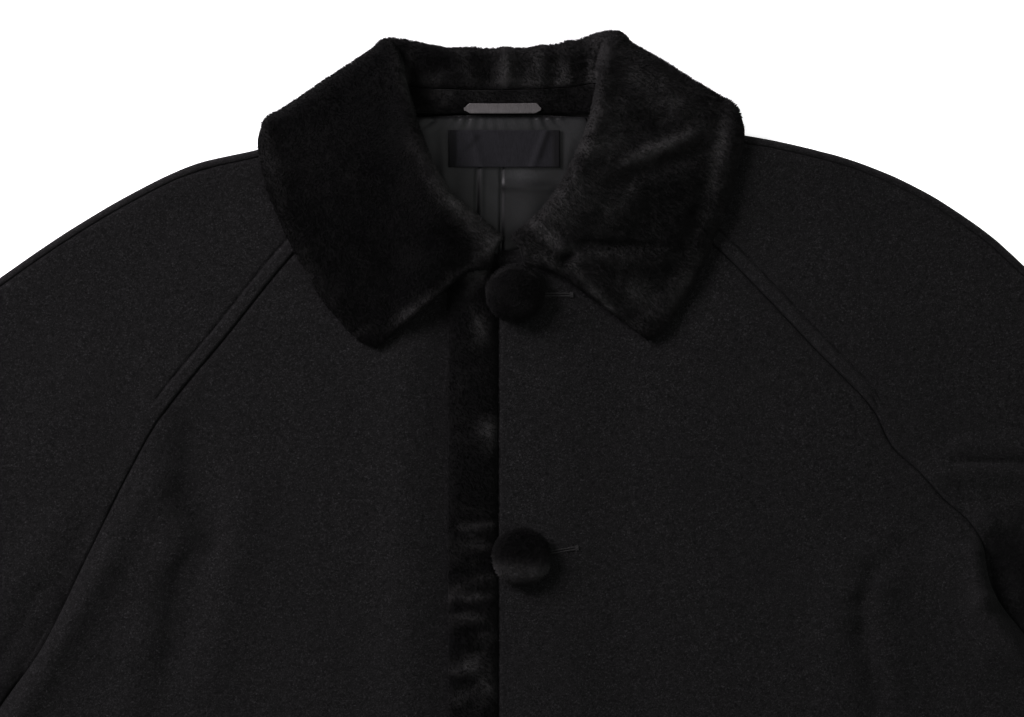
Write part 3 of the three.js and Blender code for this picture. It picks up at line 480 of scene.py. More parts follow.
def ruled(start, end, head, tail, count, crowding=1.0):
    """Rows of plan points: fine steps at both ends of each, and even or crowding steps between.

    Also gives each point's share of its row's length.
    """
    length = np.linalg.norm(end - start, axis=-1)[:, None]
    even = 1 - (1 - np.linspace(0, 1, count + 1)[1:-1]) ** crowding
    middle = mix(head[-1], length - tail[0], even)
    head = np.broadcast_to(head, (len(length), len(head)))
    u = np.concatenate([head, middle, length - tail], 1) / length
    return mix(start[:, None], end[:, None], u[..., None]), u


def sleeve_rows(side):
    rows = ROWS_BELOW["underarm"]
    k = np.arange(RAGLAN_ROWS + rows + 1)
    below = mix(ACROSS_PIT, 1, (k - RAGLAN_ROWS) / rows)
    share = np.where(k <= RAGLAN_ROWS, ACROSS_PIT * raglan_share(k), below)
    return CURVES[side]["overarm"].at(share), into_sleeve(side, share)


def seam_relief(x, y):
    """Seam lines pressed into the cloth."""
    dip = np.zeros(np.shape(x))
    for line, deep in zip(SEAMS, (1.2, 1.2, 0.7, 0.7)):
        d = polyline_distance(x, y, line)[0]
        dip = np.minimum(dip, -deep * bell(d, 0.9) - 0.25 * bell(d, 4))
    return dip


def painted_seam_and_crease_shade(x, y, lines=()):
    """Painted shade: the share of the light kept, less along the seams, standing in for the shade in their
    grooves, and in the depth of creases.
    """
    kept = np.ones(np.shape(x))
    for line, share in zip(SEAMS, (0.5, 0.5, 0.2, 0.2)):
        kept = kept * (1 - share * bell(polyline_distance(x, y, line)[0], 0.9))
    for *line, wide, share in [*CREASE_SHADES, *lines]:
        kept = kept * (1 - share * bell(segment_distance(x, y, *line), wide))
    return kept


STRIP = {"wide": 9.4, "high": 0.9, "stitch": 3.4, "stop": {"right": 0.472, "left": 0.512}}


def strip_relief(side, x, y):
    """The raised, topstitched strip on the sleeve's side of the upper raglan seam, and its painted light:
    painted shade in the stitch groove, the strip painted lighter.
    """
    curve = CURVES[side]["frontRaglan"]
    shares = np.linspace(0, 1, 120)
    line = curve.at(shares)
    along = shares[np.hypot(x[..., None] - line[:, 0], y[..., None] - line[:, 1]).argmin(-1)]
    d = polyline_distance(x, y, line)[0]
    left_over = (STRIP["stop"][side] - along) * curve.length
    wide = STRIP["wide"] * np.clip(left_over / 9, 0, 1)
    shown = smooth(left_over / 2)
    raised = STRIP["high"] * smooth((wide - d) / 2.2) * shown
    stitches = 0.75 + 0.25 * np.cos(2 * np.pi * along * curve.length / STRIP["stitch"])
    groove = bell(d - wide - 0.3, 0.8) * stitches * shown
    on_strip = smooth(wide - d) * shown
    # painted shade in the groove, painted light on the strip
    return raised - 0.95 * groove, (1 - 0.5 * groove) * (1 + 0.13 * on_strip)


# Fine relief of the wool's nap. As a mesh value of the same name, it holds painted light and shade.
def nap_and_painted_light(x, y):
    return 0.05 * value_noise(x, y, 5, 11) + 0.04 * value_noise(x, y, 11, 12)


# ---------------------------------------------------------------- materials
def fill(tree, made, inputs):
    """Sets a node's own sockets to values, or links them to other nodes."""
    for key, value in inputs.items():
        if isinstance(value, bpy.types.NodeSocket):
            tree.links.new(value, made.inputs[key])
        else:
            made.inputs[key].default_value = value


def new_material(name, inputs):
    material = bpy.data.materials.new(name)
    material.use_nodes = True
    bsdf = material.node_tree.nodes["Principled BSDF"]
    fill(material.node_tree, bsdf, inputs)
    return material, material.node_tree, bsdf


def cloth_shader(name, rough, sheen, specular):
    return new_material(name, {"Roughness": rough, "Sheen Weight": sheen, "Sheen Roughness": 0.6,
                               "Specular IOR Level": specular})


def node(tree, kind, inputs, **settings):
    made = tree.nodes.new(kind)
    for key, value in settings.items():
        setattr(made, key, value)
    fill(tree, made, inputs)
    return made


def attribute(tree, name, output):
    return node(tree, "ShaderNodeAttribute", {}, attribute_name=name).outputs[output]


def noise(tree, size_mm, detail, rough, distortion=0.0, stretch=(1, 1, 1)):
    place = node(tree, "ShaderNodeTexCoord", {}).outputs["Object"]
    scaled = node(tree, "ShaderNodeMapping", {"Vector": place, "Scale": stretch}).outputs["Vector"]
    return node(tree, "ShaderNodeTexNoise", {
        "Vector": scaled, "Scale": 1 / (size_mm * MM), "Detail": detail, "Roughness": rough,
        "Distortion": distortion,
    }).outputs["Fac"]


def ramp(tree, factor, stops):
    """Colours along a factor; a single number stands for a grey."""
    made = node(tree, "ShaderNodeValToRGB", {"Fac": factor})
    elements = made.color_ramp.elements
    while len(elements) < len(stops):
        elements.new(0.5)
    for element, (place, colour) in zip(elements, stops):
        element.position = place
        element.color = (*(colour if isinstance(colour, tuple) else (colour,) * 3), 1)
    return made.outputs["Color"]


def maths(tree, operation, a, b):
    return node(tree, "ShaderNodeMath", {0: a, 1: b}, operation=operation).outputs[0]


def multiply(tree, first, second):
    inputs = {0: 1, 6: first, 7: second}
    return node(tree, "ShaderNodeMix", inputs, data_type="RGBA", blend_type="MULTIPLY").outputs[2]


def finish_cloth(tree, bsdf, colour, height, strength, depth_mm):
    inputs = {"Height": height, "Strength": strength, "Distance": depth_mm * MM}
    bump = node(tree, "ShaderNodeBump", inputs)
    fill(tree, bsdf, {"Base Color": colour, "Normal": bump.outputs["Normal"]})


def fabric(name, surface, layers, relief, bump, shaded=True):
    """A cloth of layers of noise, each with its own colours, multiplied together.

    The first layers, as many as relief says, are its fine relief. A shaded cloth is also
    multiplied by its mesh's nap value, which holds painted light and shade.
    """
    material, tree, bsdf = cloth_shader(name, *surface)
    sizes, colours = zip(*layers)
    factors = [noise(tree, *size) for size in sizes]
    tones = [ramp(tree, factor, stops) for factor, stops in zip(factors, colours)]
    if shaded:
        # painted light and shade, from the mesh's value
        tones.append(attribute(tree, "nap_and_painted_light", "Color"))
    colour = tones[0]
    for tone in tones[1:]:
        colour = multiply(tree, colour, tone)
    height = factors[0] if relief == 1 else maths(tree, "ADD", *factors[:2])
    finish_cloth(tree, bsdf, colour, height, *bump)
    return material


def plush_material():
    """Dense pile. The lay value is painted light: how much sheen its pile shows at a place, darker where it
    lies in shade.
    """
    material, tree, bsdf = cloth_shader("plush pile", 0.8, 0.02, 0.02)
    grain, patches = noise(tree, 1.3, 3, 0.65, 0.8), noise(tree, 9, 2, 0.55, 0.6)
    wander = maths(tree, "MULTIPLY", maths(tree, "SUBTRACT", patches, 0.5), 0.5)
    base = ramp(tree, maths(tree, "ADD", attribute(tree, "tone_and_painted_light", "Fac"), wander), [
        (0.0, (0.0012, 0.0012, 0.0013)), (0.3, (0.0026, 0.0025, 0.0025)),
        (0.6, (0.0085, 0.0082, 0.0082)), (1.0, (0.030, 0.029, 0.029)),
    ])
    fleck = ramp(tree, grain, [(0.3, 0.65), (0.5, 1.0), (0.75, 1.6)])
    finish_cloth(tree, bsdf, multiply(tree, base, fleck), maths(tree, "ADD", grain, patches), 0.5, 0.6)
    return material


def ribbed(name, low, high, size_mm, rough, specular, shaded=False):
    layers = [((size_mm, 2, 0.6, 0, (1, 0.15, 1)), [(0.3, low), (0.7, high)]),
              ((0.6, 2, 0.6), [(0.3, 0.8), (0.7, 1.2)])]
    return fabric(name, (rough, 0.05, specular), layers, 2, (0.35, 0.2), shaded)


# Felted melton: short fibres in all directions, clumps, flecks and soft cloudiness.
WOOL = fabric("wool melton", (0.95, 0.02, 0.02), [
    ((1.3, 3, 0.7, 1.4), [(0.32, 0.0029), (0.5, 0.0074), (0.7, 0.0158)]),
    ((4.5, 2, 0.5), [(0.3, 0.86), (0.7, 1.14)]),
    ((0.9, 1, 0.5), [(0.3, 0.7), (0.6, 1.05), (0.74, 2.4)]),
    ((60, 2, 0.5), [(0.3, (0.97, 0.95, 0.98)), (0.7, (1.03, 1.0, 1.03))]),
], 2, (0.7, 0.8))
SATIN = fabric("satin lining", (0.42, 0.0, 0.16), [
    ((0.5, 2, 0.5, 0, (1, 0.25, 1)),
     [(0.3, (0.0085, 0.0088, 0.0092)), (0.7, (0.0145, 0.0148, 0.0152))]),
    ((22, 2, 0.5), [(0.3, 0.8), (0.7, 1.2)]),
], 1, (0.1, 0.1))
TAPE = ribbed("satin tape", (0.046, 0.042, 0.042), (0.071, 0.065, 0.065), 0.9, 0.5, 0.3)
WOVEN = ribbed("woven label", (0.0050, 0.0049, 0.0061), (0.0100, 0.0098, 0.0120), 0.5, 0.6, 0.06, True)
THREAD = ribbed("sewing thread", 0.008, (0.024, 0.023, 0.023), 0.3, 0.7, 0.06)
PILE = plush_material()

# The kinds of sheet: what ends the piece's name, its slot and its material.
KINDS = {"cloth": ("wool", WOOL), "plush": ("plush", PILE), "satin": ("lining", SATIN),
         "woven": ("label", WOVEN), "tape": ("tape", TAPE)}


# ---------------------------------------------------------------- wool panels
def sheet(part, kind, points, normals, thick, rests_on, relief=0.0, values=None):
    """A piece of cloth that replaces the part's solid. Unless rests_on is None, its cut is worked out from
    its surface.
    """
    slot, material = KINDS[kind]
    obj, outer = wall(f"{part}_{kind}", points, normals, thick, material, relief, values or {})
    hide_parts(part)
    if rests_on is not None:
        declare_cut(obj, outer)
    return outer


def declare_cut(obj, outer):
    """Works out a sheet's cut from its own surface, the width and length of its flattened grid, and keeps
    nothing of it.
    """
    across = np.linalg.norm(np.diff(outer, axis=1), axis=-1).sum(1)
    down = np.linalg.norm(np.diff(outer, axis=0), axis=-1).sum(0)
    area = cell_areas(outer).sum() / 2
    width, length = across.max(), max(down.max(), area / across.max())
    area = max(area, 0.3 * width * length)


def cell_areas(grid):
    """Twice the area of each cell of a grid of points."""
    a, b = grid[1:, 1:] - grid[:-1, :-1], grid[1:, :-1] - grid[:-1, 1:]
    return np.linalg.norm(np.cross(a, b), axis=-1)


def edge_taper(shape, first=False, high=False):
    """Thickness shares that round off the last edge of a wall, and other open ones."""
    taper = np.ones(shape)
    for i, share in enumerate((0.35, 0.8, 0.96)):
        taper[-1 - i] *= share
        if first:
            taper[i] *= share
        if high:
            taper[:, -1 - i] *= share
    return taper


def sleeve_front(side):
    outline, inward = sleeve_rows(side)
    end, shift = boundary(side, "frontRaglan", "underarm")
    start = outline + inward * (SEAM_INSET + SEAM_GAP)
    plan, _ = ruled(start, end, HEAD, TAIL, SLEEVE_STEPS, SLEEVE_CROWDING)
    x, y = plan[..., 0], plan[..., 1]
    points, normals = layer_points(x, y, FRONT)
    points[:, -1, :2] += shift
    strip, strip_shade = strip_relief(side, x, y)
    relief = seam_relief(x, y) + strip + nap_and_painted_light(x, y)
    # painted shade of the seams, creases and hollows, and the strip's painted light and shade
    shade = painted_seam_and_crease_shade(x, y, SLEEVE_SHADES) * strip_shade
    thick = WALL * edge_taper(x.shape)
    sheet(f"sleeve_front_{side}", "cloth", points, normals, thick, [f"sleeve_back_{side}"], relief,
          {"nap_and_painted_light": shade})


def sleeve_back(side):
    """The sleeve's back half, which turns up over the shoulder to the over-arm seam."""
    outline, inward = sleeve_rows(side)
    base = lift(outline[:, 0], outline[:, 1]) + WALL / 2 + EDGE_RADIUS
    angles = np.radians(np.linspace(90, -90, WRAP_STEPS))
    inset = WALL / 2 + EDGE_RADIUS * (1 - np.cos(angles))
    wrap = outline[:, None] + inward[:, None] * inset[:, None]
    wrap_z = base[:, None] + EDGE_RADIUS * np.sin(angles)
    flat_normal = -inward[:, None] * np.cos(angles)[:, None]
    end, shift = boundary(side, "backRaglan", "underarm")
    plan, _ = ruled(outline + inward * SEAM_INSET, end, HEAD, SHORT_TAIL, SLEEVE_BACK_STEPS)
    points, normals = layer_points(plan[:, 1:, 0], plan[:, 1:, 1], BACK)
    points[:, -1, :2] += shift
    points = np.concatenate([stack(wrap[..., 0], wrap[..., 1], wrap_z), points], 1)
    normals = np.concatenate([stack(flat_normal[..., 0], flat_normal[..., 1], np.sin(angles)), normals], 1)
    x, y = points[..., 0], points[..., 1]
    relief = np.zeros(x.shape)
    xw, yw = x[:, :WRAP_STEPS], y[:, :WRAP_STEPS]
    relief[:, :WRAP_STEPS] = seam_relief(xw, yw) * np.clip(np.sin(angles), 0, 1) ** 2 + nap_and_painted_light(xw, yw) * 1.5
    # painted shade of the seams and creases on the upward face
    sheet(f"sleeve_back_{side}", "cloth", points, normals, WALL * edge_taper(x.shape), [], relief,
          {"nap_and_painted_light": np.where(normals[..., 2] > 0, painted_seam_and_crease_shade(x, y), 1.0)})


def bow(points):
    curve = PlanCurve(points)
    first, last = curve.at(0.0), curve.at(1.0)
    return lambda u: curve.at(u) - mix(first, last, u[..., None])


def hem_y(x):
    return np.interp(x, HEM_CURVE.dense[:, 0], HEM_CURVE.dense[:, 1])


SOLID_ROWS = (12, 10)   # rows of the solids above and below the armpit
BEND = 6                # how fast the bend to the neck or the hem dies away


def body_plan(start, end, steps, neck_points, hem_span):
    """Plan points of a body panel's rows, bent to the neck at the top and the hem below."""
    plan, u = ruled(start, end, *steps)
    x1, x2 = hem_span
    hem = hem_y(mix(x1, x2, u)) - mix(hem_y(x1), hem_y(x2), u)
    k = np.arange(len(start))
    upper = SOLID_ROWS[0] * raglan_share(k) ** (1 / NECK_CROWDING)
    lower = np.maximum(k - RAGLAN_ROWS, 0) / ROWS_BELOW["side"] * SOLID_ROWS[1]
    down = ((upper + lower) / sum(SOLID_ROWS))[:, None]
    plan = plan + bow(neck_points)(u) * ((1 - down) ** BEND)[..., None]
    plan[..., 1] += hem * down**BEND
    return plan


def front(side, edge_x, layer, rests_on):
    start, shift = boundary(side, "frontRaglan", "side")
    k = np.arange(len(start))
    neck_y, pit_y = FRONT_NECK[side][-1][1], SIDES[side]["side"][0][1]
    hem_x = SIDES[side]["side"][-1][0]
    y_end = np.where(k <= RAGLAN_ROWS, mix(neck_y, pit_y, raglan_share(k)),
                     mix(pit_y, float(hem_y(edge_x)), below_share(k, "side")))
    steps = (TAIL[::-1], FREE_TAIL, FRONT_STEPS)
    plan = body_plan(start, stack(float(edge_x), y_end), steps, FRONT_NECK[side], (hem_x, edge_x))
    x, y = plan[..., 0], plan[..., 1]
    points, normals = layer_points(x, y, layer)
    points[:, 0, :2] += shift
    points[:, -1, 0] -= np.sign(edge_x - hem_x) * SEAM_GAP / 2
    relief = seam_relief(x, y) + nap_and_painted_light(x, y)
    if side == "left":
        relief = relief - 1.3 * bell(x - BAND_SEAM, 1.1)
    taper = edge_taper(x.shape, first=True, high=side == "right")
    # painted shade of the seams and creases
    sheet(f"front_{side}", "cloth", points, normals, WALL * taper, rests_on, relief, {"nap_and_painted_light": painted_seam_and_crease_shade(x, y)})


def back():
    start, shift_right = boundary("right", "backRaglan", "side")
    end, shift_left = boundary("left", "backRaglan", "side")
    steps = (SHORT_TAIL[::-1], SHORT_TAIL, BACK_STEPS)
    plan = body_plan(start, end, steps, BACK_NECK, (HEM[0][0], HEM[-1][0]))
    points, normals = layer_points(plan[..., 0], plan[..., 1], BACK)
    points[:, 0, :2] += shift_right
    points[:, -1, :2] += shift_left
    shape = plan.shape[:2]
    sheet("back", "cloth", points, normals, WALL * edge_taper(shape), [], 0.0, {"nap_and_painted_light": np.ones(shape)})


# ---------------------------------------------------------------- lay of the pile, and its painted sheen and shade
# Painted sheen of the pile, where it catches the light (painted shade below zero): x, y,
# half length, half width, angle of the long axis in degrees, strength.
PILE_PATCHES = [
    # the wearer's right leaf (-X): dark, lighter along the roll, the rims and near the point
    (-66, 20, 30, 3.5, -75, 0.55), (-27, -60, 30, 12, -51, 0.7), (-44, -118, 38, 4.5, 42, 0.42),
    (-64, -130, 14, 5, 38, 0.4), (-92, -142, 12, 4, 38, 0.3), (-150, -38, 38, 7.5, -74, 0.36),
    (-120, -114, 40, 8, -58, 0.3), (-97, -42, 16, 12, -50, 0.14), (-8, -86, 9, 9, 0, 0.3),
    (-46, -34, 24, 7, -62, 0.42), (-120, 4, 36, 14, 36, -0.05), (-100, -86, 24, 18, -50, -0.08),
    # the wearer's left leaf (+X): lighter patches and creases
    (70, 42, 14, 6, -15, 0.1), (57, 6, 36, 8, 78, 0.34), (64, -22, 14, 7, 20, 0.25),
    (103, -21, 26, 4.5, 22, 0.55), (38, -60, 28, 15, 50, 0.33), (34, -83, 20, 4.5, -37, 0.42),
    (78, -93, 24, 5, -3, 0.22), (30, -96, 10, 5, -20, 0.25), (62, -118, 32, 3.5, -48, 0.42),
    (142, -20, 26, 5, 78, 0.4), (119, -110, 24, 4.5, 62, 0.3), (92, 22, 24, 13, -35, 0.25),
    (112, 4, 14, 9, 0, 0.12), (78, -58, 16, 8, 40, 0.26), (68, -8, 12, 15, 0, 0.2),
    (88, -118, 14, 8, -40, 0.2), (12, -90, 8, 6, -20, 0.15), (101, -52, 16, 14, 0, -0.12),
    (106, -136, 14, 9, 40, -0.12), (72, -84, 26, 2.5, -3, -0.22), (84, -2, 12, 7, 20, -0.12),
    (42, -93.5, 5, 4, 0, -0.6),
    # inside of the back neck
    (-46, 24, 12, 7, 20, 0.5), (-25, 31, 4, 12, 20, 0.34), (1, 30, 4.5, 12, 0, 0.38),
    (23, 32, 3.5, 9, -8, 0.24), (41, 27, 5, 8, -6, 0.2), (-62, 32, 4, 14, -10, 0.3), (0, 22, 56, 3, 0, 0.2),
    (58, 34, 2, 14, -14, 0.2), (0, 31, 62, 12, 0, 0.15), (0, 41, 70, 3, 0, 0.1),
]
# Painted sheen and shade of the collar stand's pile, in the same columns.
STAND_PATCHES = [
    (-44, 14, 16, 4, 4, 0.12), (0, 11, 34, 5, 0, 0.16), (58, 10, 16, 10, 0, -0.12), (-60, 6, 14, 8, 0, -0.1),
]
# Painted sheen and shade of the plush band's pile, in the same columns.
BAND_PATCHES = [
    (-10, -208, 7, 10, 0, 0.6), (-16, -104, 7, 9, 0, 0.75), (-15, -139, 6, 12, 8, 0.6),
    (-26, -118, 6, 14, 0, 0.15), (-14, -168, 9, 5, 0, 0.12), (-30, -190, 4, 20, 0, 0.1),
    (-18, -271, 14, 3.2, 4, 0.62), (-20, -260, 12, 2, -8, 0.35), (-15, -284, 12, 3, -10, 0.4),
    (-20, -296, 12, 2.4, 10, 0.3), (-12, -304, 12, 2.6, 6, 0.3), (-18, -318, 15, 4.2, 3, 0.78),
    (-22, -331, 12, 3, -4, 0.35), (-14, -345, 10, 4, 10, 0.35), (-20, -360, 9, 7, 0, 0.4),
    (-12, -378, 8, 10, 0, 0.35), (-22, -240, 10, 12, 0, -0.06), (-18, -182, 12, 10, 0, -0.05),
]
# The locks of each piece: how many, their length, the seed and the way they are combed.
PILES = {
    "front_band_pile": (20000, 1.8, 31, (0.1, -0.7, 0)),
    "collar_pile_right": (36000, 1.85, 51, (-0.35, -0.55, 0)),
    "collar_pile_left": (36000, 1.85, 58, (0.35, -0.55, 0)),
    "collar_stand_pile": (5000, 1.5, 71, (0, -0.4, 0)),
    **{f"button_{i}_pile": (4200 if i < 3 else 1500, 1.7, 100 + i, (0, 0.5, 0)) for i in range(1, 5)},
}
LOCK_WIDTH = 0.33


# Painted light: patches of painted sheen and shine, painted shade where strength is below zero, added to a
# base tone.
def painted_light_patches(x, y, patches, base):
    tone_and_painted_light = np.full(np.shape(x), float(base))
    for cx, cy, long, wide, angle, strength in patches:
        c, s = math.cos(math.radians(angle)), math.sin(math.radians(angle))
        a = ((x - cx) * c + (y - cy) * s) / long
        b = (-(x - cx) * s + (y - cy) * c) / wide
        tone_and_painted_light = tone_and_painted_light + strength * np.exp(-(a * a + b * b))
    return tone_and_painted_light


def add_pile(name, roots, normals, tone_and_painted_light, region):
    """Short locks of pile on a grid of surface points: spikes rooted in it, leaning along the comb."""
    count, length, seed, comb = PILES[name]
    rng = np.random.default_rng(seed)
    area = cell_areas(roots) * region[:-1, :-1]
    pick = rng.choice(area.size, count, p=(area / area.sum()).ravel())
    i, j = np.unravel_index(pick, area.shape)
    s, t = rng.random((2, count, 1))
    blend = lambda g: mix(mix(g[i, j], g[i, j + 1], t), mix(g[i + 1, j], g[i + 1, j + 1], t), s)
    root, normal = blend(roots), unit(blend(normals))
    # the locks take the painted sheen and shade of the surface under them
    shade = blend(tone_and_painted_light[..., None])
    swirl = stack(*(value_noise(root[:, 0], root[:, 1], 16, seed + k) for k in (1, 2)), 0.0)
    lean = np.array(comb) + 0.55 * swirl + rng.normal(0, 0.25, (count, 3))
    lean = lean - normal * (lean * normal).sum(-1, keepdims=True)
    direction = unit(normal * 0.85 + lean)
    size = length * rng.uniform(0.6, 1.15, (count, 1))
    width = LOCK_WIDTH * rng.uniform(0.7, 1.4, (count, 1))
    across = unit(np.cross(direction, rng.normal(0, 1, (count, 3))))
    other = np.cross(direction, across)
    corners = [root + width * (math.cos(w) * across + math.sin(w) * other) - 0.4 * normal
               for w in (0, 2.094, 4.189)]
    points = np.stack(corners + [root + direction * size], 1).reshape(-1, 3)
    first = np.arange(count)[:, None] * 4
    faces = np.concatenate([first + f for f in ([0, 1, 3], [1, 2, 3], [2, 0, 3])], 0)
    tones = np.repeat(shade + rng.normal(0, 0.05, (count, 1)), 4, 1)
    add_mesh(name, points, faces.tolist(), PILE, {"tone_and_painted_light": tones})


def flat_grid(x, y, z):
    """Points of a sheet that lies flat, and their normals."""
    points = stack(x, y, z)
    return points, np.broadcast_to([0.0, 0.0, 1.0], points.shape)


# ---------------------------------------------------------------- plush band
BAND_ROWS = 330
BAND_ACROSS = np.array([0, 0.02, 0.05, 0.1, 0.17, 0.26, 0.36, 0.47, 0.58, 0.69, 0.79, 0.87, 0.93, 0.97, 1.0])
# Thickness across the band, from its rolled free edge to its sewn-down one.
BAND_PROFILE = ([0, 0.03, 0.12, 0.35, 0.65, 0.9, 0.97, 1], [1.0, 2.8, 4.7, 6, 6, 4.8, 3.4, 2.2])
PILE_SEEN_TO = -480     # the pile is sparser below this, out of the picture


def front_band():
    y = np.linspace(BAND_TOP, HEM_Y, BAND_ROWS)[:, None]
    wander = 0.5 * value_noise(y, y * 0, 30, 21) * (1 - BAND_ACROSS)
    x = mix(LAP_EDGE, BAND_SEAM - SEAM_GAP, BAND_ACROSS)[None] + wander
    y = np.broadcast_to(y, x.shape)
    arch = np.sin(np.pi * BAND_ACROSS)
    thick = np.interp(BAND_ACROSS, *BAND_PROFILE) + 0.35 * value_noise(x, y, 14, 22) * arch
    # painted sheen and shade of the band's pile
    tone_and_painted_light = painted_light_patches(x, y, BAND_PATCHES, 0.22) + 0.16 * value_noise(x, y, 26, 23)
    lower = smooth((-y - 250) / 60)
    ripple = np.sin(y / 4.2 + 2 * value_noise(x, y, 20, 24))
    ripple = ripple * smooth((value_noise(x, y, 34, 25) + 0.1) / 0.5)
    thick = thick + 0.6 * ripple * lower * arch
    # painted highlights on the ripples' crests
    tone_and_painted_light = tone_and_painted_light + 0.2 * ripple * lower
    points, normals = flat_grid(x, y, front_middle(x, y, False) + LAP_RISE - WALL / 2 + thick / 2)
    outer = sheet("front_band", "plush", points, normals, thick, ["front_right_cloth"], 0.0, {"tone_and_painted_light": tone_and_painted_light})
    add_pile("front_band_pile", outer, normals, tone_and_painted_light, np.where(y > PILE_SEEN_TO, 1.0, 0.35))


# ---------------------------------------------------------------- collar
TAB = {"at": 0.12, "run": 0.1, "share": 0.02, "across": 4.5, "down": 7.5}     # the leaves' full front ends
# Soft creases in the leaves: x1, y1, x2, y2, wide, high.
LEAF_CREASES = [
    (82, -30, 125, -12, 5, 2.0), (84, -41, 128, -25, 6, -1.7), (54, -84, 98, -86, 4, -1.6),
    (58, -94, 100, -96, 7, 1.4), (20, -74, 38, -84, 5, 1.6), (38, -84, 50, -95, 4.5, 1.8),
    (41, -95, 44, -92, 4, -3.2), (70, -20, 84, 20, 9, 1.1), (58, -50, 84, -56, 7, 1.2),
    (46, -62, 62, -40, 8, 1.2), (96, 34, 118, 8, 9, 1.0), (74, 30, 96, 12, 8, -1.0),
    (120, -60, 104, -112, 9, 1.0), (98, -60, 88, -80, 8, -1.0), (-120, -116, -70, -138, 8, 1.0),
    (-60, -100, -30, -92, 7, 1.0), (-118, -40, -96, -70, 14, 0.8), (-140, 4, -112, -10, 12, -0.7),
    (-44, -60, -30, -76, 7, 1.0), (-84, -20, -70, -60, 10, 0.7),
]
# Ripples inside the back neck: x, high.
NECK_RIPPLES = [
    (-52, 1.0), (-36, -1.1), (-21, 1.3), (-9, -1.3), (1, 1.4), (13, -1.3), (25, 1.3), (34, -1.1), (43, 1.2),
    (54, -0.9),
]
RIPPLE_WIDTH = 4.5
FALL_THICK = ([FALL_START, 0.72, 1, 1.5, 2, 2.9, 2.96, 2.987, 3.0], [2, 4.4, 5, 5.4, 6, 6, 5.4, 2, 1.6])
STAND_THICK = ([0.01, 0.04, 0.24, FALL_START], [2.0, STAND_WALL, STAND_WALL, 1.9])
COLLAR_COLUMNS, STAND_COLUMNS = 300, 200


def leaf_middle(x, y):
    """Height of a leaf's middle where it lies on the fronts and over their closure."""
    reach = smooth((x + 78) / 34)
    wool = LAP_RISE * reach * (1 - smooth((x - 34) / LAP_RUN))
    closure = wool + 3.6 * reach * (1 - smooth((x + 3) / 14))
    return front_middle(x, y, False) + WALL / 2 + LEAF_GAP + PLUSH / 2 + closure


def collar_sections(u):
    place = u * (len(COLLAR) - 1)
    k = np.minimum(place.astype(int), len(COLLAR) - 2)
    t = (place - k)[:, None]
    a, b, c, d = (COLLAR[np.clip(k + i, 0, len(COLLAR) - 1)] for i in (-1, 0, 1, 2))
    return 0.5 * (2 * b + (c - a) * t + (2 * a - 5 * b + 4 * c - d) * t**2 + (3 * b - a - 3 * c + d) * t**3)


def collar_points(u, v):
    """Middle surface of the collar: v is 0 to 1 up the stand, to 2 round the roll and to 3 down."""
    s = collar_sections(u)
    roll, radius, edge, neck = s[:, 0:3], s[:, 3:4], s[:, 5:7], s[:, 7:10]
    turn = np.radians(np.clip(s[:, 4], -90, 90))
    inward = unit(unit(edge - roll[:, :2]) + unit(neck[:, :2] - roll[:, :2]))
    inward3 = np.concatenate([inward, np.zeros((len(u), 1))], 1)
    side = np.where(u < 0.5, -1, 1)
    across = stack(-side * inward[:, 1] * np.cos(turn), side * inward[:, 0] * np.cos(turn), np.sin(turn))
    centre = roll + inward3 * CREST_INSET + inward3 * radius
    near_end = bell(np.minimum(u, 1 - u), TAB["share"])
    tab = stack(-side * TAB["across"] * near_end, -TAB["down"] * near_end)
    top = (1 + np.sin(turn)) / 2
    rest = lambda q: mix(PLUSH / 2, leaf_middle(q[:, 0], q[:, 1]), top)
    rows = []
    for value in v:
        angle = math.pi * (min(max(value, 1), 2) - 1.5)
        bend = centre - inward3 * radius * math.cos(angle) + across * radius * math.sin(angle)
        if value < 1:
            bend = mix(neck, bend, value)
        elif value > 2:
            run = value - 2
            near_roll = bell(run - TAB["at"], TAB["run"]) * min(run / TAB["at"], 1)
            plan = mix(bend[:, :2], edge, run) + tab * near_roll
            z = rest(plan) + (bend[:, 2] - rest(bend[:, :2])) * (1 - run) ** 1.8
            bend = stack(plan[:, 0], plan[:, 1], z + LEAF_CROWN * top * math.sin(math.pi * run))
        rows.append(bend)
    return np.stack(rows, 1)


def grid_normals(points, up_at):
    normals = unit(np.cross(np.gradient(points, axis=0), np.gradient(points, axis=1)))
    return normals if normals[up_at][2] > 0 else -normals


def collar_relief(points, normals, v):
    x, y = points[..., 0], points[..., 1]
    leaf = smooth((v[None] - 2.03) / 0.25) * (normals[..., 2] > 0)
    relief = fold_height(x, y, LEAF_CREASES) * leaf
    inside = (normals[..., 2] > 0.1) & (y > 12) & (np.abs(x) < 66) & (v[None] < 1.7)
    ripples = sum(high * bell(x - cx, RIPPLE_WIDTH) for cx, high in NECK_RIPPLES)
    relief = relief + np.where(inside, 0.8 * ripples * smooth((y - 14) / 10), 0)
    rim = 0.9 * bell(v[None] - 2.9, 0.045) - 0.8 * bell(v[None] - 2.8, 0.05)
    crest = bell(v[None] - 1.5, 0.5) * (y > 28)
    relief = relief + rim * leaf + crest * (0.8 + 2.2 * bell(x - 62, 24) + 1.8 * bell(x + 64, 14))
    return relief + 0.3 * value_noise(x, y, 12, 41) + 0.15 * value_noise(x, y, 5, 42)


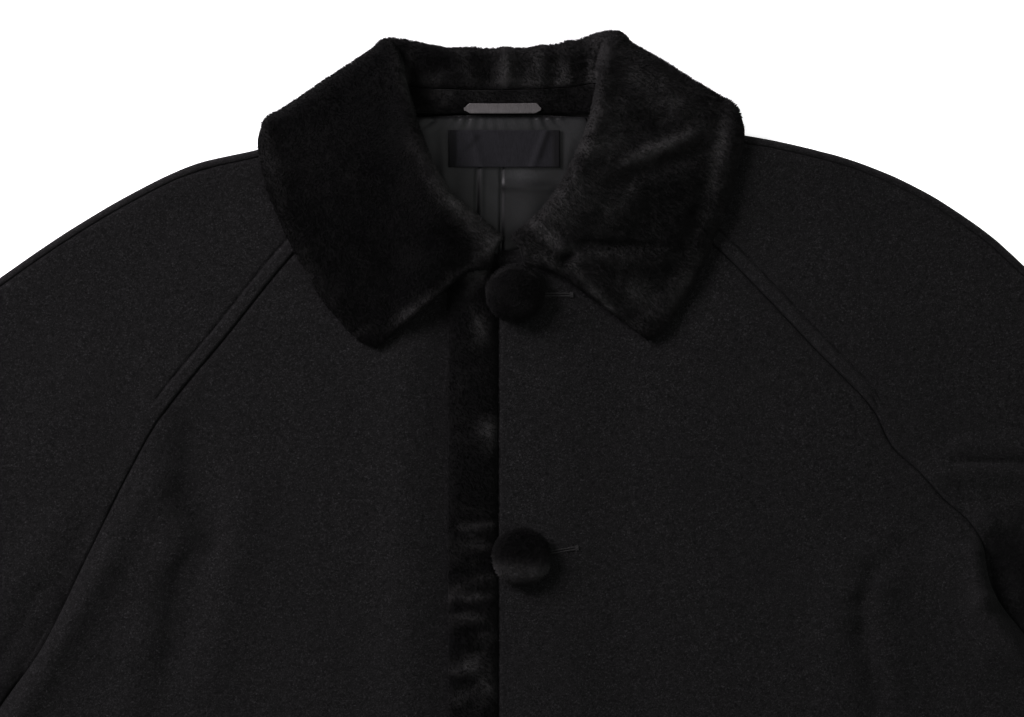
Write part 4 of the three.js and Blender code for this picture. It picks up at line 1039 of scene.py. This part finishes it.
def collar():
    u = np.linspace(0, 1, COLLAR_COLUMNS)
    v = np.concatenate([
        np.linspace(FALL_START + SEAM_SHARE, 1, 12, endpoint=False), np.linspace(1, 2, 16, endpoint=False),
        np.linspace(2, 2.9, 46, endpoint=False), [2.9, 2.915, 2.93, 2.945, 2.96, 2.972, 2.981, 2.987],
    ])
    points = collar_points(u, v)
    normals = grid_normals(points, (30, 50))
    ends = np.minimum(np.arange(len(u)), np.arange(len(u))[::-1])[:, None]
    thick = np.interp(v, *FALL_THICK) * np.interp(ends, [0, 1, 2, 3, 4], [0.3, 0.6, 0.8, 0.93, 1])
    points[..., 2] = np.maximum(points[..., 2], thick / 2 * np.abs(normals[..., 2]))
    relief = np.where(normals[..., 2] > -0.3, collar_relief(points, normals, v), 0) - 0.9
    x, y = points[..., 0], points[..., 1]
    # Painted light and shade: the wearer's left leaf (+X) lighter than the right one, and shade at the
    # collar's ends and under the left leaf's roll.
    base = mix(0.14, 0.46, smooth((x + 40) / 60))
    tone_and_painted_light = painted_light_patches(x, y, PILE_PATCHES, 0) + base + 0.1 * value_noise(x, y, 30, 43)
    tone_and_painted_light = tone_and_painted_light - 0.3 * bell(ends, 2.0) - 0.14 * bell(v[None] - 1.6, 0.4) * (x > 0) * (y < 30)
    outer = sheet("collar_fall", "plush", points, normals, thick, ["front_right_cloth", "front_left_cloth"],
                  relief, {"tone_and_painted_light": tone_and_painted_light})
    shown = np.where(normals[..., 2] > -0.35, 1.0, 0.02)
    shown = shown * np.where((v[None] < 1) & (np.abs(x) > 60), 0.05, 1.0)
    half = len(u) // 2
    for side, part in (("right", slice(0, half + 1)), ("left", slice(half, len(u)))):
        add_pile(f"collar_pile_{side}", outer[part], normals[part], tone_and_painted_light[part], shown[part])


def collar_stand():
    u = np.linspace(0, 1, STAND_COLUMNS)
    top = [0.41, 0.425, FALL_START - SEAM_SHARE]
    v = np.concatenate([[0.01, 0.02, 0.04], np.linspace(0.07, FALL_START - 0.05, 10), top])
    points = collar_points(u, v)
    normals = grid_normals(points, (100, 8))
    x, y = points[..., 0], points[..., 1]
    tone_and_painted_light = painted_light_patches(x, y, STAND_PATCHES, 0.33) + 0.16 * value_noise(x, y, 14, 44)
    outer = sheet("collar_stand", "plush", points, normals, np.interp(v, *STAND_THICK)[None], ["back_cloth"],
                  0.2 * value_noise(x, y, 9, 45), {"tone_and_painted_light": tone_and_painted_light})
    add_pile("collar_stand_pile", outer, normals, tone_and_painted_light, np.where(np.abs(x) < 64, 1.0, 0.02))


# ---------------------------------------------------------------- inside the neck
# Rows of the lining: y, half width.
LINING_ROWS = [(-1.5, 56), (-10, 61), (-25, 66), (-45, 71), (-70, 74), (-92, 70), (-112, 60)]
# Standing folds of the lining: x at the top, x at the bottom, y from, y to, wide, high.
PLEATS = [
    (-16.8, -17.8, -30, -80, 1.5, -1.2), (-14.2, -15.0, -30, -80, 2.0, 0.8), (-26, -28, -36, -90, 7, 0.9),
    (-1.0, -1.4, -30, -95, 1.2, -1.2), (18, 22, -48, -90, 9, 0.8), (-40, -36, -12, -70, 4, 0.7),
    (44, 40, -12, -60, 4, 0.6),
]
# Where the satin shines: x, y, half length, half width, angle, strength; the rest lies in shade.
SATIN_PATCHES = [
    (-9, -44, 6, 18, 0, 0.4), (13, -39, 15, 5.5, 0, 1.0), (-47, -14, 8, 13, 0, 0.4),
    (46, -16, 8, 14, 0, 0.55), (0, -6, 40, 4, 0, 0.5), (-26, -52, 7, 12, 0, -0.12),
    (-15.8, -52, 1.6, 22, 0, -0.35), (0, -55, 1.2, 24, 0, -0.4), (14, -49.5, 16, 2.2, -3, -0.25),
    (10, -66, 8, 9, 0, 0.16), (30, -40, 5, 12, -30, -0.2), (-4, -60, 3, 12, 0, 0.2),
    (6, -86, 10, 9, 0, -0.62),
]
# Creases of the label: x1, y1, x2, y2, wide, share of the light lost there.
LABEL_CREASES = [(-16.8, -14.4, -23.1, -21.8, 1.7, 0.5), (29.7, -11.2, 24.4, -28.1, 1.7, 0.55)]
LABEL_TURN = 6          # how much of each end of the label is painted darker where it turns under
STITCHED_AT = 3.2       # the stitches' distance from the label's ends
LOOP = {"left": -27.5, "right": 28, "low": 0.015, "high": 0.2, "bowed": 1.2}
LOOP_ROWS, LOOP_COLUMNS = 70, 9


def lining_middle(x, y):
    depth = 0.6 * bell(x + 14, 7) * smooth((-y - 12) / 20)
    return lift(x, y) + WALL + SEAM_GAP + LINING_WALL / 2 + depth


def lining_relief(x, y):
    relief = np.zeros(np.shape(x))
    for x1, x2, y1, y2, wide, high in PLEATS:
        t = (y - y1) / (y2 - y1)
        shown = smooth((t + 0.1) / 0.2) * (1 - smooth((t - 0.9) / 0.2))
        relief = relief + high * bell(x - mix(x1, x2, t), wide) * shown
    fan = x * (1 + (y + 2) / 90)
    gathers = np.sin(fan * 0.8 + 4.5 * value_noise(x, y, 20, 61)) * bell(y + 2, 8)
    crease = bell(y + 46 + 0.06 * x, 3.0) * smooth((x + 6) / 8) * (1 - smooth((x - 30) / 10))
    gathers = 0.26 * gathers * (1 + 1.6 * value_noise(x, y, 12, 63))
    return relief + gathers + crease + 0.4 * value_noise(x, y, 14, 62)


def back_lining():
    table = np.array(LINING_ROWS, float)
    y = np.linspace(table[0, 0], table[-1, 0], 60)[:, None]
    x = np.interp(-y, -table[:, 0], table[:, 1]) * np.linspace(-1, 1, 150)[None] - 2
    y = np.broadcast_to(y, x.shape)
    points, normals = flat_grid(x, y, lining_middle(x, y))
    # the satin's painted shine, and painted shade where it is dark
    shine = np.clip(painted_light_patches(x, y, SATIN_PATCHES, 0.52), 0.08, 1.5)
    sheet("back_lining", "satin", points, normals, LINING_WALL, ["back_cloth"], lining_relief(x, y) * 0.8,
          {"nap_and_painted_light": shine})


def neck_label():
    """The woven label, left bare, with folded ends and two soft folds."""
    y = np.linspace(LABEL["top"], LABEL["bottom"], 26)[:, None]
    x, y = np.broadcast_arrays(np.linspace(LABEL["left"], LABEL["right"], 76)[None], y)
    at_left, at_right = x - LABEL["left"], x - LABEL["right"]
    waves = 0.7 * bell(x + 19 + 0.3 * (y + 18), 3) + 0.8 * bell(x - 27 - 0.4 * (y + 16), 3)
    ends = 0.45 * (smooth((4.5 - at_left) / 0.6) + smooth((at_right + 4.5) / 0.6))
    rows = bell(at_left - STITCHED_AT, 0.5) + bell(at_right + STITCHED_AT, 0.5)
    stitch = -0.25 * (np.sin(y * 2.6) > 0) * rows
    lies_on = lining_middle(x, y) + LINING_WALL / 2 + SEAM_GAP + 0.3
    points, normals = flat_grid(x, y, lies_on + TAPE_WALL / 2 + 0.5)
    turned = smooth((LABEL_TURN - at_left) / 1.5) + smooth((at_right + LABEL_TURN) / 1.5)
    # painted shade in the label's creases, and painted darker at its turned ends
    shade = 1 - 0.72 * turned - fold_height(x, y, LABEL_CREASES)
    sheet("neck_label", "woven", points, normals, TAPE_WALL, ["back_lining_satin"], waves + ends + stitch,
          {"nap_and_painted_light": shade})


def hanger_loop():
    """A satin tape with tapered ends, sewn at both ends over the collar seam."""
    t = np.linspace(0, 1, LOOP_ROWS)
    x = mix(LOOP["left"], LOOP["right"], t)
    u = 0.5 + x / 27 / (len(COLLAR) - 1)
    points = collar_points(u, np.linspace(LOOP["low"], LOOP["high"], LOOP_COLUMNS))
    normals = grid_normals(points, (LOOP_ROWS // 2, 4))
    taper = smooth(np.minimum(t, 1 - t) / 0.09) * 0.75 + 0.25
    middle = points[:, 3:4]
    points = middle + (points - middle) * taper[:, None, None]
    rise = STAND_WALL / 2 + SEAM_GAP + TAPE_WALL / 2 + 0.3 + LOOP["bowed"] * np.sin(np.pi * t)
    points = points + normals * rise[:, None, None]
    ribs = 0.12 * np.abs(np.linspace(-1, 1, LOOP_COLUMNS))[None] ** 6
    sheet("hanger_loop", "tape", points, normals, TAPE_WALL, None, ribs)


# ---------------------------------------------------------------- buttons and buttonholes
# Section of a button's dome: share of the radius, share of the height.
BUTTON_DOME = [
    (0.0, -0.02), (0.5, -0.02), (0.86, 0.0), (0.95, 0.08), (0.99, 0.22), (1.0, 0.4), (0.975, 0.56),
    (0.92, 0.7), (0.83, 0.82), (0.7, 0.91), (0.54, 0.965), (0.36, 0.99), (0.18, 1.0), (0.0, 1.0),
]
# Where a button shines: how far up from its middle in radii, strength.
BUTTON_LIGHTS = {1: (0.2, 0.12), 2: (-0.48, 0.75), 3: (-0.3, 0.4), 4: (-0.3, 0.4)}
BUTTON_TURNS, BUTTON_ROWS = 72, 44
SLANTS = {1: math.radians(-1), 2: math.radians(9), 3: 0.0, 4: 0.0}
SLIT_LENGTH, SLIT_HALF, STITCH_PITCH = 36.5, 1.3, 0.62


def button_place(index):
    """Middle and top of a button's solid, in the plan's millimetres."""
    low, high = (np.array(corner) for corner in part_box(f"button_{index}"))
    return ((low + high) / 2 - PLACE) / MM, (high[2] - PLACE[2]) / MM


def button(index):
    """A domed button covered in the collar's plush."""
    centre, top = button_place(index)
    profile = np.array(BUTTON_DOME)
    fine = np.linspace(0, len(profile) - 1, BUTTON_ROWS)
    r, h = (np.interp(fine, np.arange(len(profile)), profile[:, k]) * size
            for k, size in enumerate((BUTTON_RADIUS - 0.6, BUTTON_HEIGHT - 0.8)))
    angle = np.linspace(0, 2 * np.pi, BUTTON_TURNS + 1)
    x = centre[0] + r[None] * np.cos(angle)[:, None]
    y = centre[1] + r[None] * np.sin(angle)[:, None]
    away = stack(np.cos(angle), np.sin(angle), 0.0)[:, None]
    lean = unit(stack(np.gradient(h), -np.gradient(r)))
    normals = unit(away * lean[None, :, :1] + np.array([0, 0, 1.0]) * lean[None, :, 1:])
    if normals[0, -3, 2] < 0:
        normals = -normals
    uneven = 0.25 * value_noise(x, y, 7, 80 + index)
    points = stack(x, y, top - BUTTON_HEIGHT + h) + normals * uneven[..., None]
    up = (y - centre[1]) / BUTTON_RADIUS
    place, strength = BUTTON_LIGHTS[index]
    # painted highlights where the button catches the light, and a painted highlight arc on the first button's
    # rim
    tone_and_painted_light = 0.18 + strength * bell(up - place, 0.45)
    if index == 1:
        tone_and_painted_light = tone_and_painted_light + 0.35 * bell(np.hypot(x - centre[0], y - centre[1]) - 17.2, 1.3) * (up > 0.5)
    tone_and_painted_light = tone_and_painted_light + 0.1 * value_noise(x, y, 9, 90 + index)
    near = np.arange(BUTTON_TURNS * BUTTON_ROWS).reshape(BUTTON_TURNS, BUTTON_ROWS)
    after = np.roll(near, -1, axis=0)
    faces = quads(near[:, :-1], near[:, 1:], after[:, 1:], after[:, :-1])[:, ::-1]
    seen = points[:-1].reshape(-1, 3)
    obj = add_mesh(f"button_{index}_plush", seen, faces.tolist(), PILE, {"tone_and_painted_light": tone_and_painted_light[:-1]})
    weld(obj)
    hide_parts(f"button_{index}")
    add_pile(f"button_{index}_pile", points, normals, tone_and_painted_light, (normals[..., 2] > -0.1).astype(float))


def weld(obj):
    """Joins the points that lie on each other, and faces the surface outward."""
    work = bmesh.new()
    work.from_mesh(obj.data)
    bmesh.ops.remove_doubles(work, verts=work.verts, dist=1e-5)
    bmesh.ops.dissolve_degenerate(work, dist=1e-6, edges=work.edges)
    bmesh.ops.recalc_face_normals(work, faces=work.faces)
    work.to_mesh(obj.data)
    work.free()


def thread(a, b, radius, base):
    """Points and faces of one stitch from a to b; base is the number of its first point."""
    along = unit(b - a)
    side = unit(np.cross(along, [0, 0, 1.0]))
    up = np.cross(side, along)
    share = np.linspace(0, 1, 5)
    path = a + (b - a) * share[:, None] + up * (0.35 * np.sin(np.pi * share))[:, None]
    ring = np.stack([side * math.cos(w) + up * math.sin(w) for w in np.linspace(0, 2 * np.pi, 6)[:-1]])
    size = radius * np.array([0.6, 1, 1, 1, 0.6])
    index = np.arange(25).reshape(5, 5) + base
    after = np.roll(index, -1, axis=1)
    sides = quads(index[:-1], index[1:], after[1:], after[:-1]).tolist()
    tube = (path[:, None] + ring[None] * size[:, None, None]).reshape(-1, 3)
    return tube, sides + [index[0][::-1].tolist(), index[-1].tolist()]


def buttonhole(index):
    """A worked slit: close thread stitches round a long narrow opening, and its bar at the end."""
    centre, _ = button_place(index)
    c, s = math.cos(SLANTS[index]), math.sin(SLANTS[index])
    rng = np.random.default_rng(200 + index)
    points, faces = [], []

    def stitch(start, end, high, radius):
        ends = []
        for along, across in (start, end):
            x, y = centre[0] + along * c - across * s, centre[1] + along * s + across * c
            z = float(lapped_middle(np.array([x]), np.array([y]))[0]) + WALL / 2 + high
            ends.append(np.array([x, y, z]))
        tube, sides = thread(*ends, radius, sum(len(p) for p in points))
        points.append(tube)
        faces.extend(sides)

    for side in (-1, 1):
        for along in np.arange(0, SLIT_LENGTH, STITCH_PITCH):
            jitter = rng.normal(0, 0.08, 2)
            outer = (along + 0.15 + jitter[0], side * (SLIT_HALF + jitter[1]))
            stitch((along, side * 0.25), outer, 0.25, 0.31)
    for along in np.linspace(SLIT_LENGTH - 0.2, SLIT_LENGTH + 1.6, 5):
        stitch((along, -SLIT_HALF - 0.5), (along, SLIT_HALF + 0.5), 0.35, 0.32)
    add_mesh(f"buttonhole_{index}", np.concatenate(points), faces, THREAD)


# ---------------------------------------------------------------- stage, lights and camera
PHOTO_CENTRE = (5.9, -160.7)     # plan point at the middle of the picture, mm
PHOTO_WIDTH = 675.8              # plan width of the picture, mm
LENS = 200.0
SENSOR = 36
CAMERA_RISE = 0.012              # height of the surface that the picture's width is measured on, m
FLOOR_HALF = 4.5
FLOOR_DROP = 0.0004
AMBIENT = 0.15
# name, place, aim, size, power, colour
LIGHTS = [
    ("key, upper left", (-1.6, 1.35, 1.25), (0, 0.3, 0), 1.0, 76, (1.0, 0.94, 1.0)),
    ("overhead", (0.2, 0.2, 3.2), (0, 0.2, 0), 2.0, 16, (1, 1, 1)),
    ("fill, right", (2.4, -0.6, 1.8), (0.1, 0.2, 0), 1.5, 13, (0.9, 1.0, 0.93)),
]


def add_stage():
    material, _, _ = new_material("pale floor", {
        "Base Color": (0.93, 0.93, 0.93, 1), "Roughness": 0.9, "Specular IOR Level": 0.1,
        "Emission Color": (1, 1, 1, 1), "Emission Strength": 0.8,
    })
    mesh = bpy.data.meshes.new("floor")
    corners = [(-1, -1, 0), (1, -1, 0), (1, 1, 0), (-1, 1, 0)]
    mesh.from_pydata([(FLOOR_HALF * x, FLOOR_HALF * y, 0) for x, y, _ in corners], [], [(0, 1, 2, 3)])
    mesh.materials.append(material)
    floor = new_object("floor", mesh)
    floor.location.z = -FLOOR_DROP


def add_lights():
    world = bpy.data.worlds.new("studio")
    world.use_nodes = True
    background = world.node_tree.nodes["Background"]
    fill(world.node_tree, background, {"Color": (1, 1, 1, 1), "Strength": AMBIENT})
    bpy.context.scene.world = world
    for name, place, aim, size, power, colour in LIGHTS:
        data = bpy.data.lights.new(name, "AREA")
        data.shape = "RECTANGLE"
        data.size, data.size_y = size, size
        data.energy = power
        data.color = colour
        lamp = new_object(name, data)
        lamp.location = place
        lamp.rotation_mode = "QUATERNION"
        lamp.rotation_quaternion = (Vector(aim) - Vector(place)).to_track_quat("-Z", "Y")
    bpy.context.scene.view_settings.view_transform = "Standard"


def add_camera():
    data = bpy.data.cameras.new("camera")
    data.lens = LENS
    data.sensor_width = SENSOR
    data.clip_end = 60
    camera = new_object("camera", data)
    x, y = (PHOTO_CENTRE[k] * MM + PLACE[k] for k in (0, 1))
    camera.location = (x, y, PHOTO_WIDTH * MM * LENS / SENSOR + CAMERA_RISE)
    bpy.context.scene.camera = camera


# ---------------------------------------------------------------- the coat
add_stage()
add_lights()
add_camera()
back()
for name in SIDES:
    sleeve_back(name)
    sleeve_front(name)
front("right", UNDERLAP_EDGE, FRONT, ["back_cloth"])
front("left", BAND_SEAM, LAPPED, ["front_right_cloth", "back_cloth"])
front_band()
collar()
collar_stand()
back_lining()
neck_label()
hanger_loop()
for number in range(1, 5):
    button(number)
    buttonhole(number)
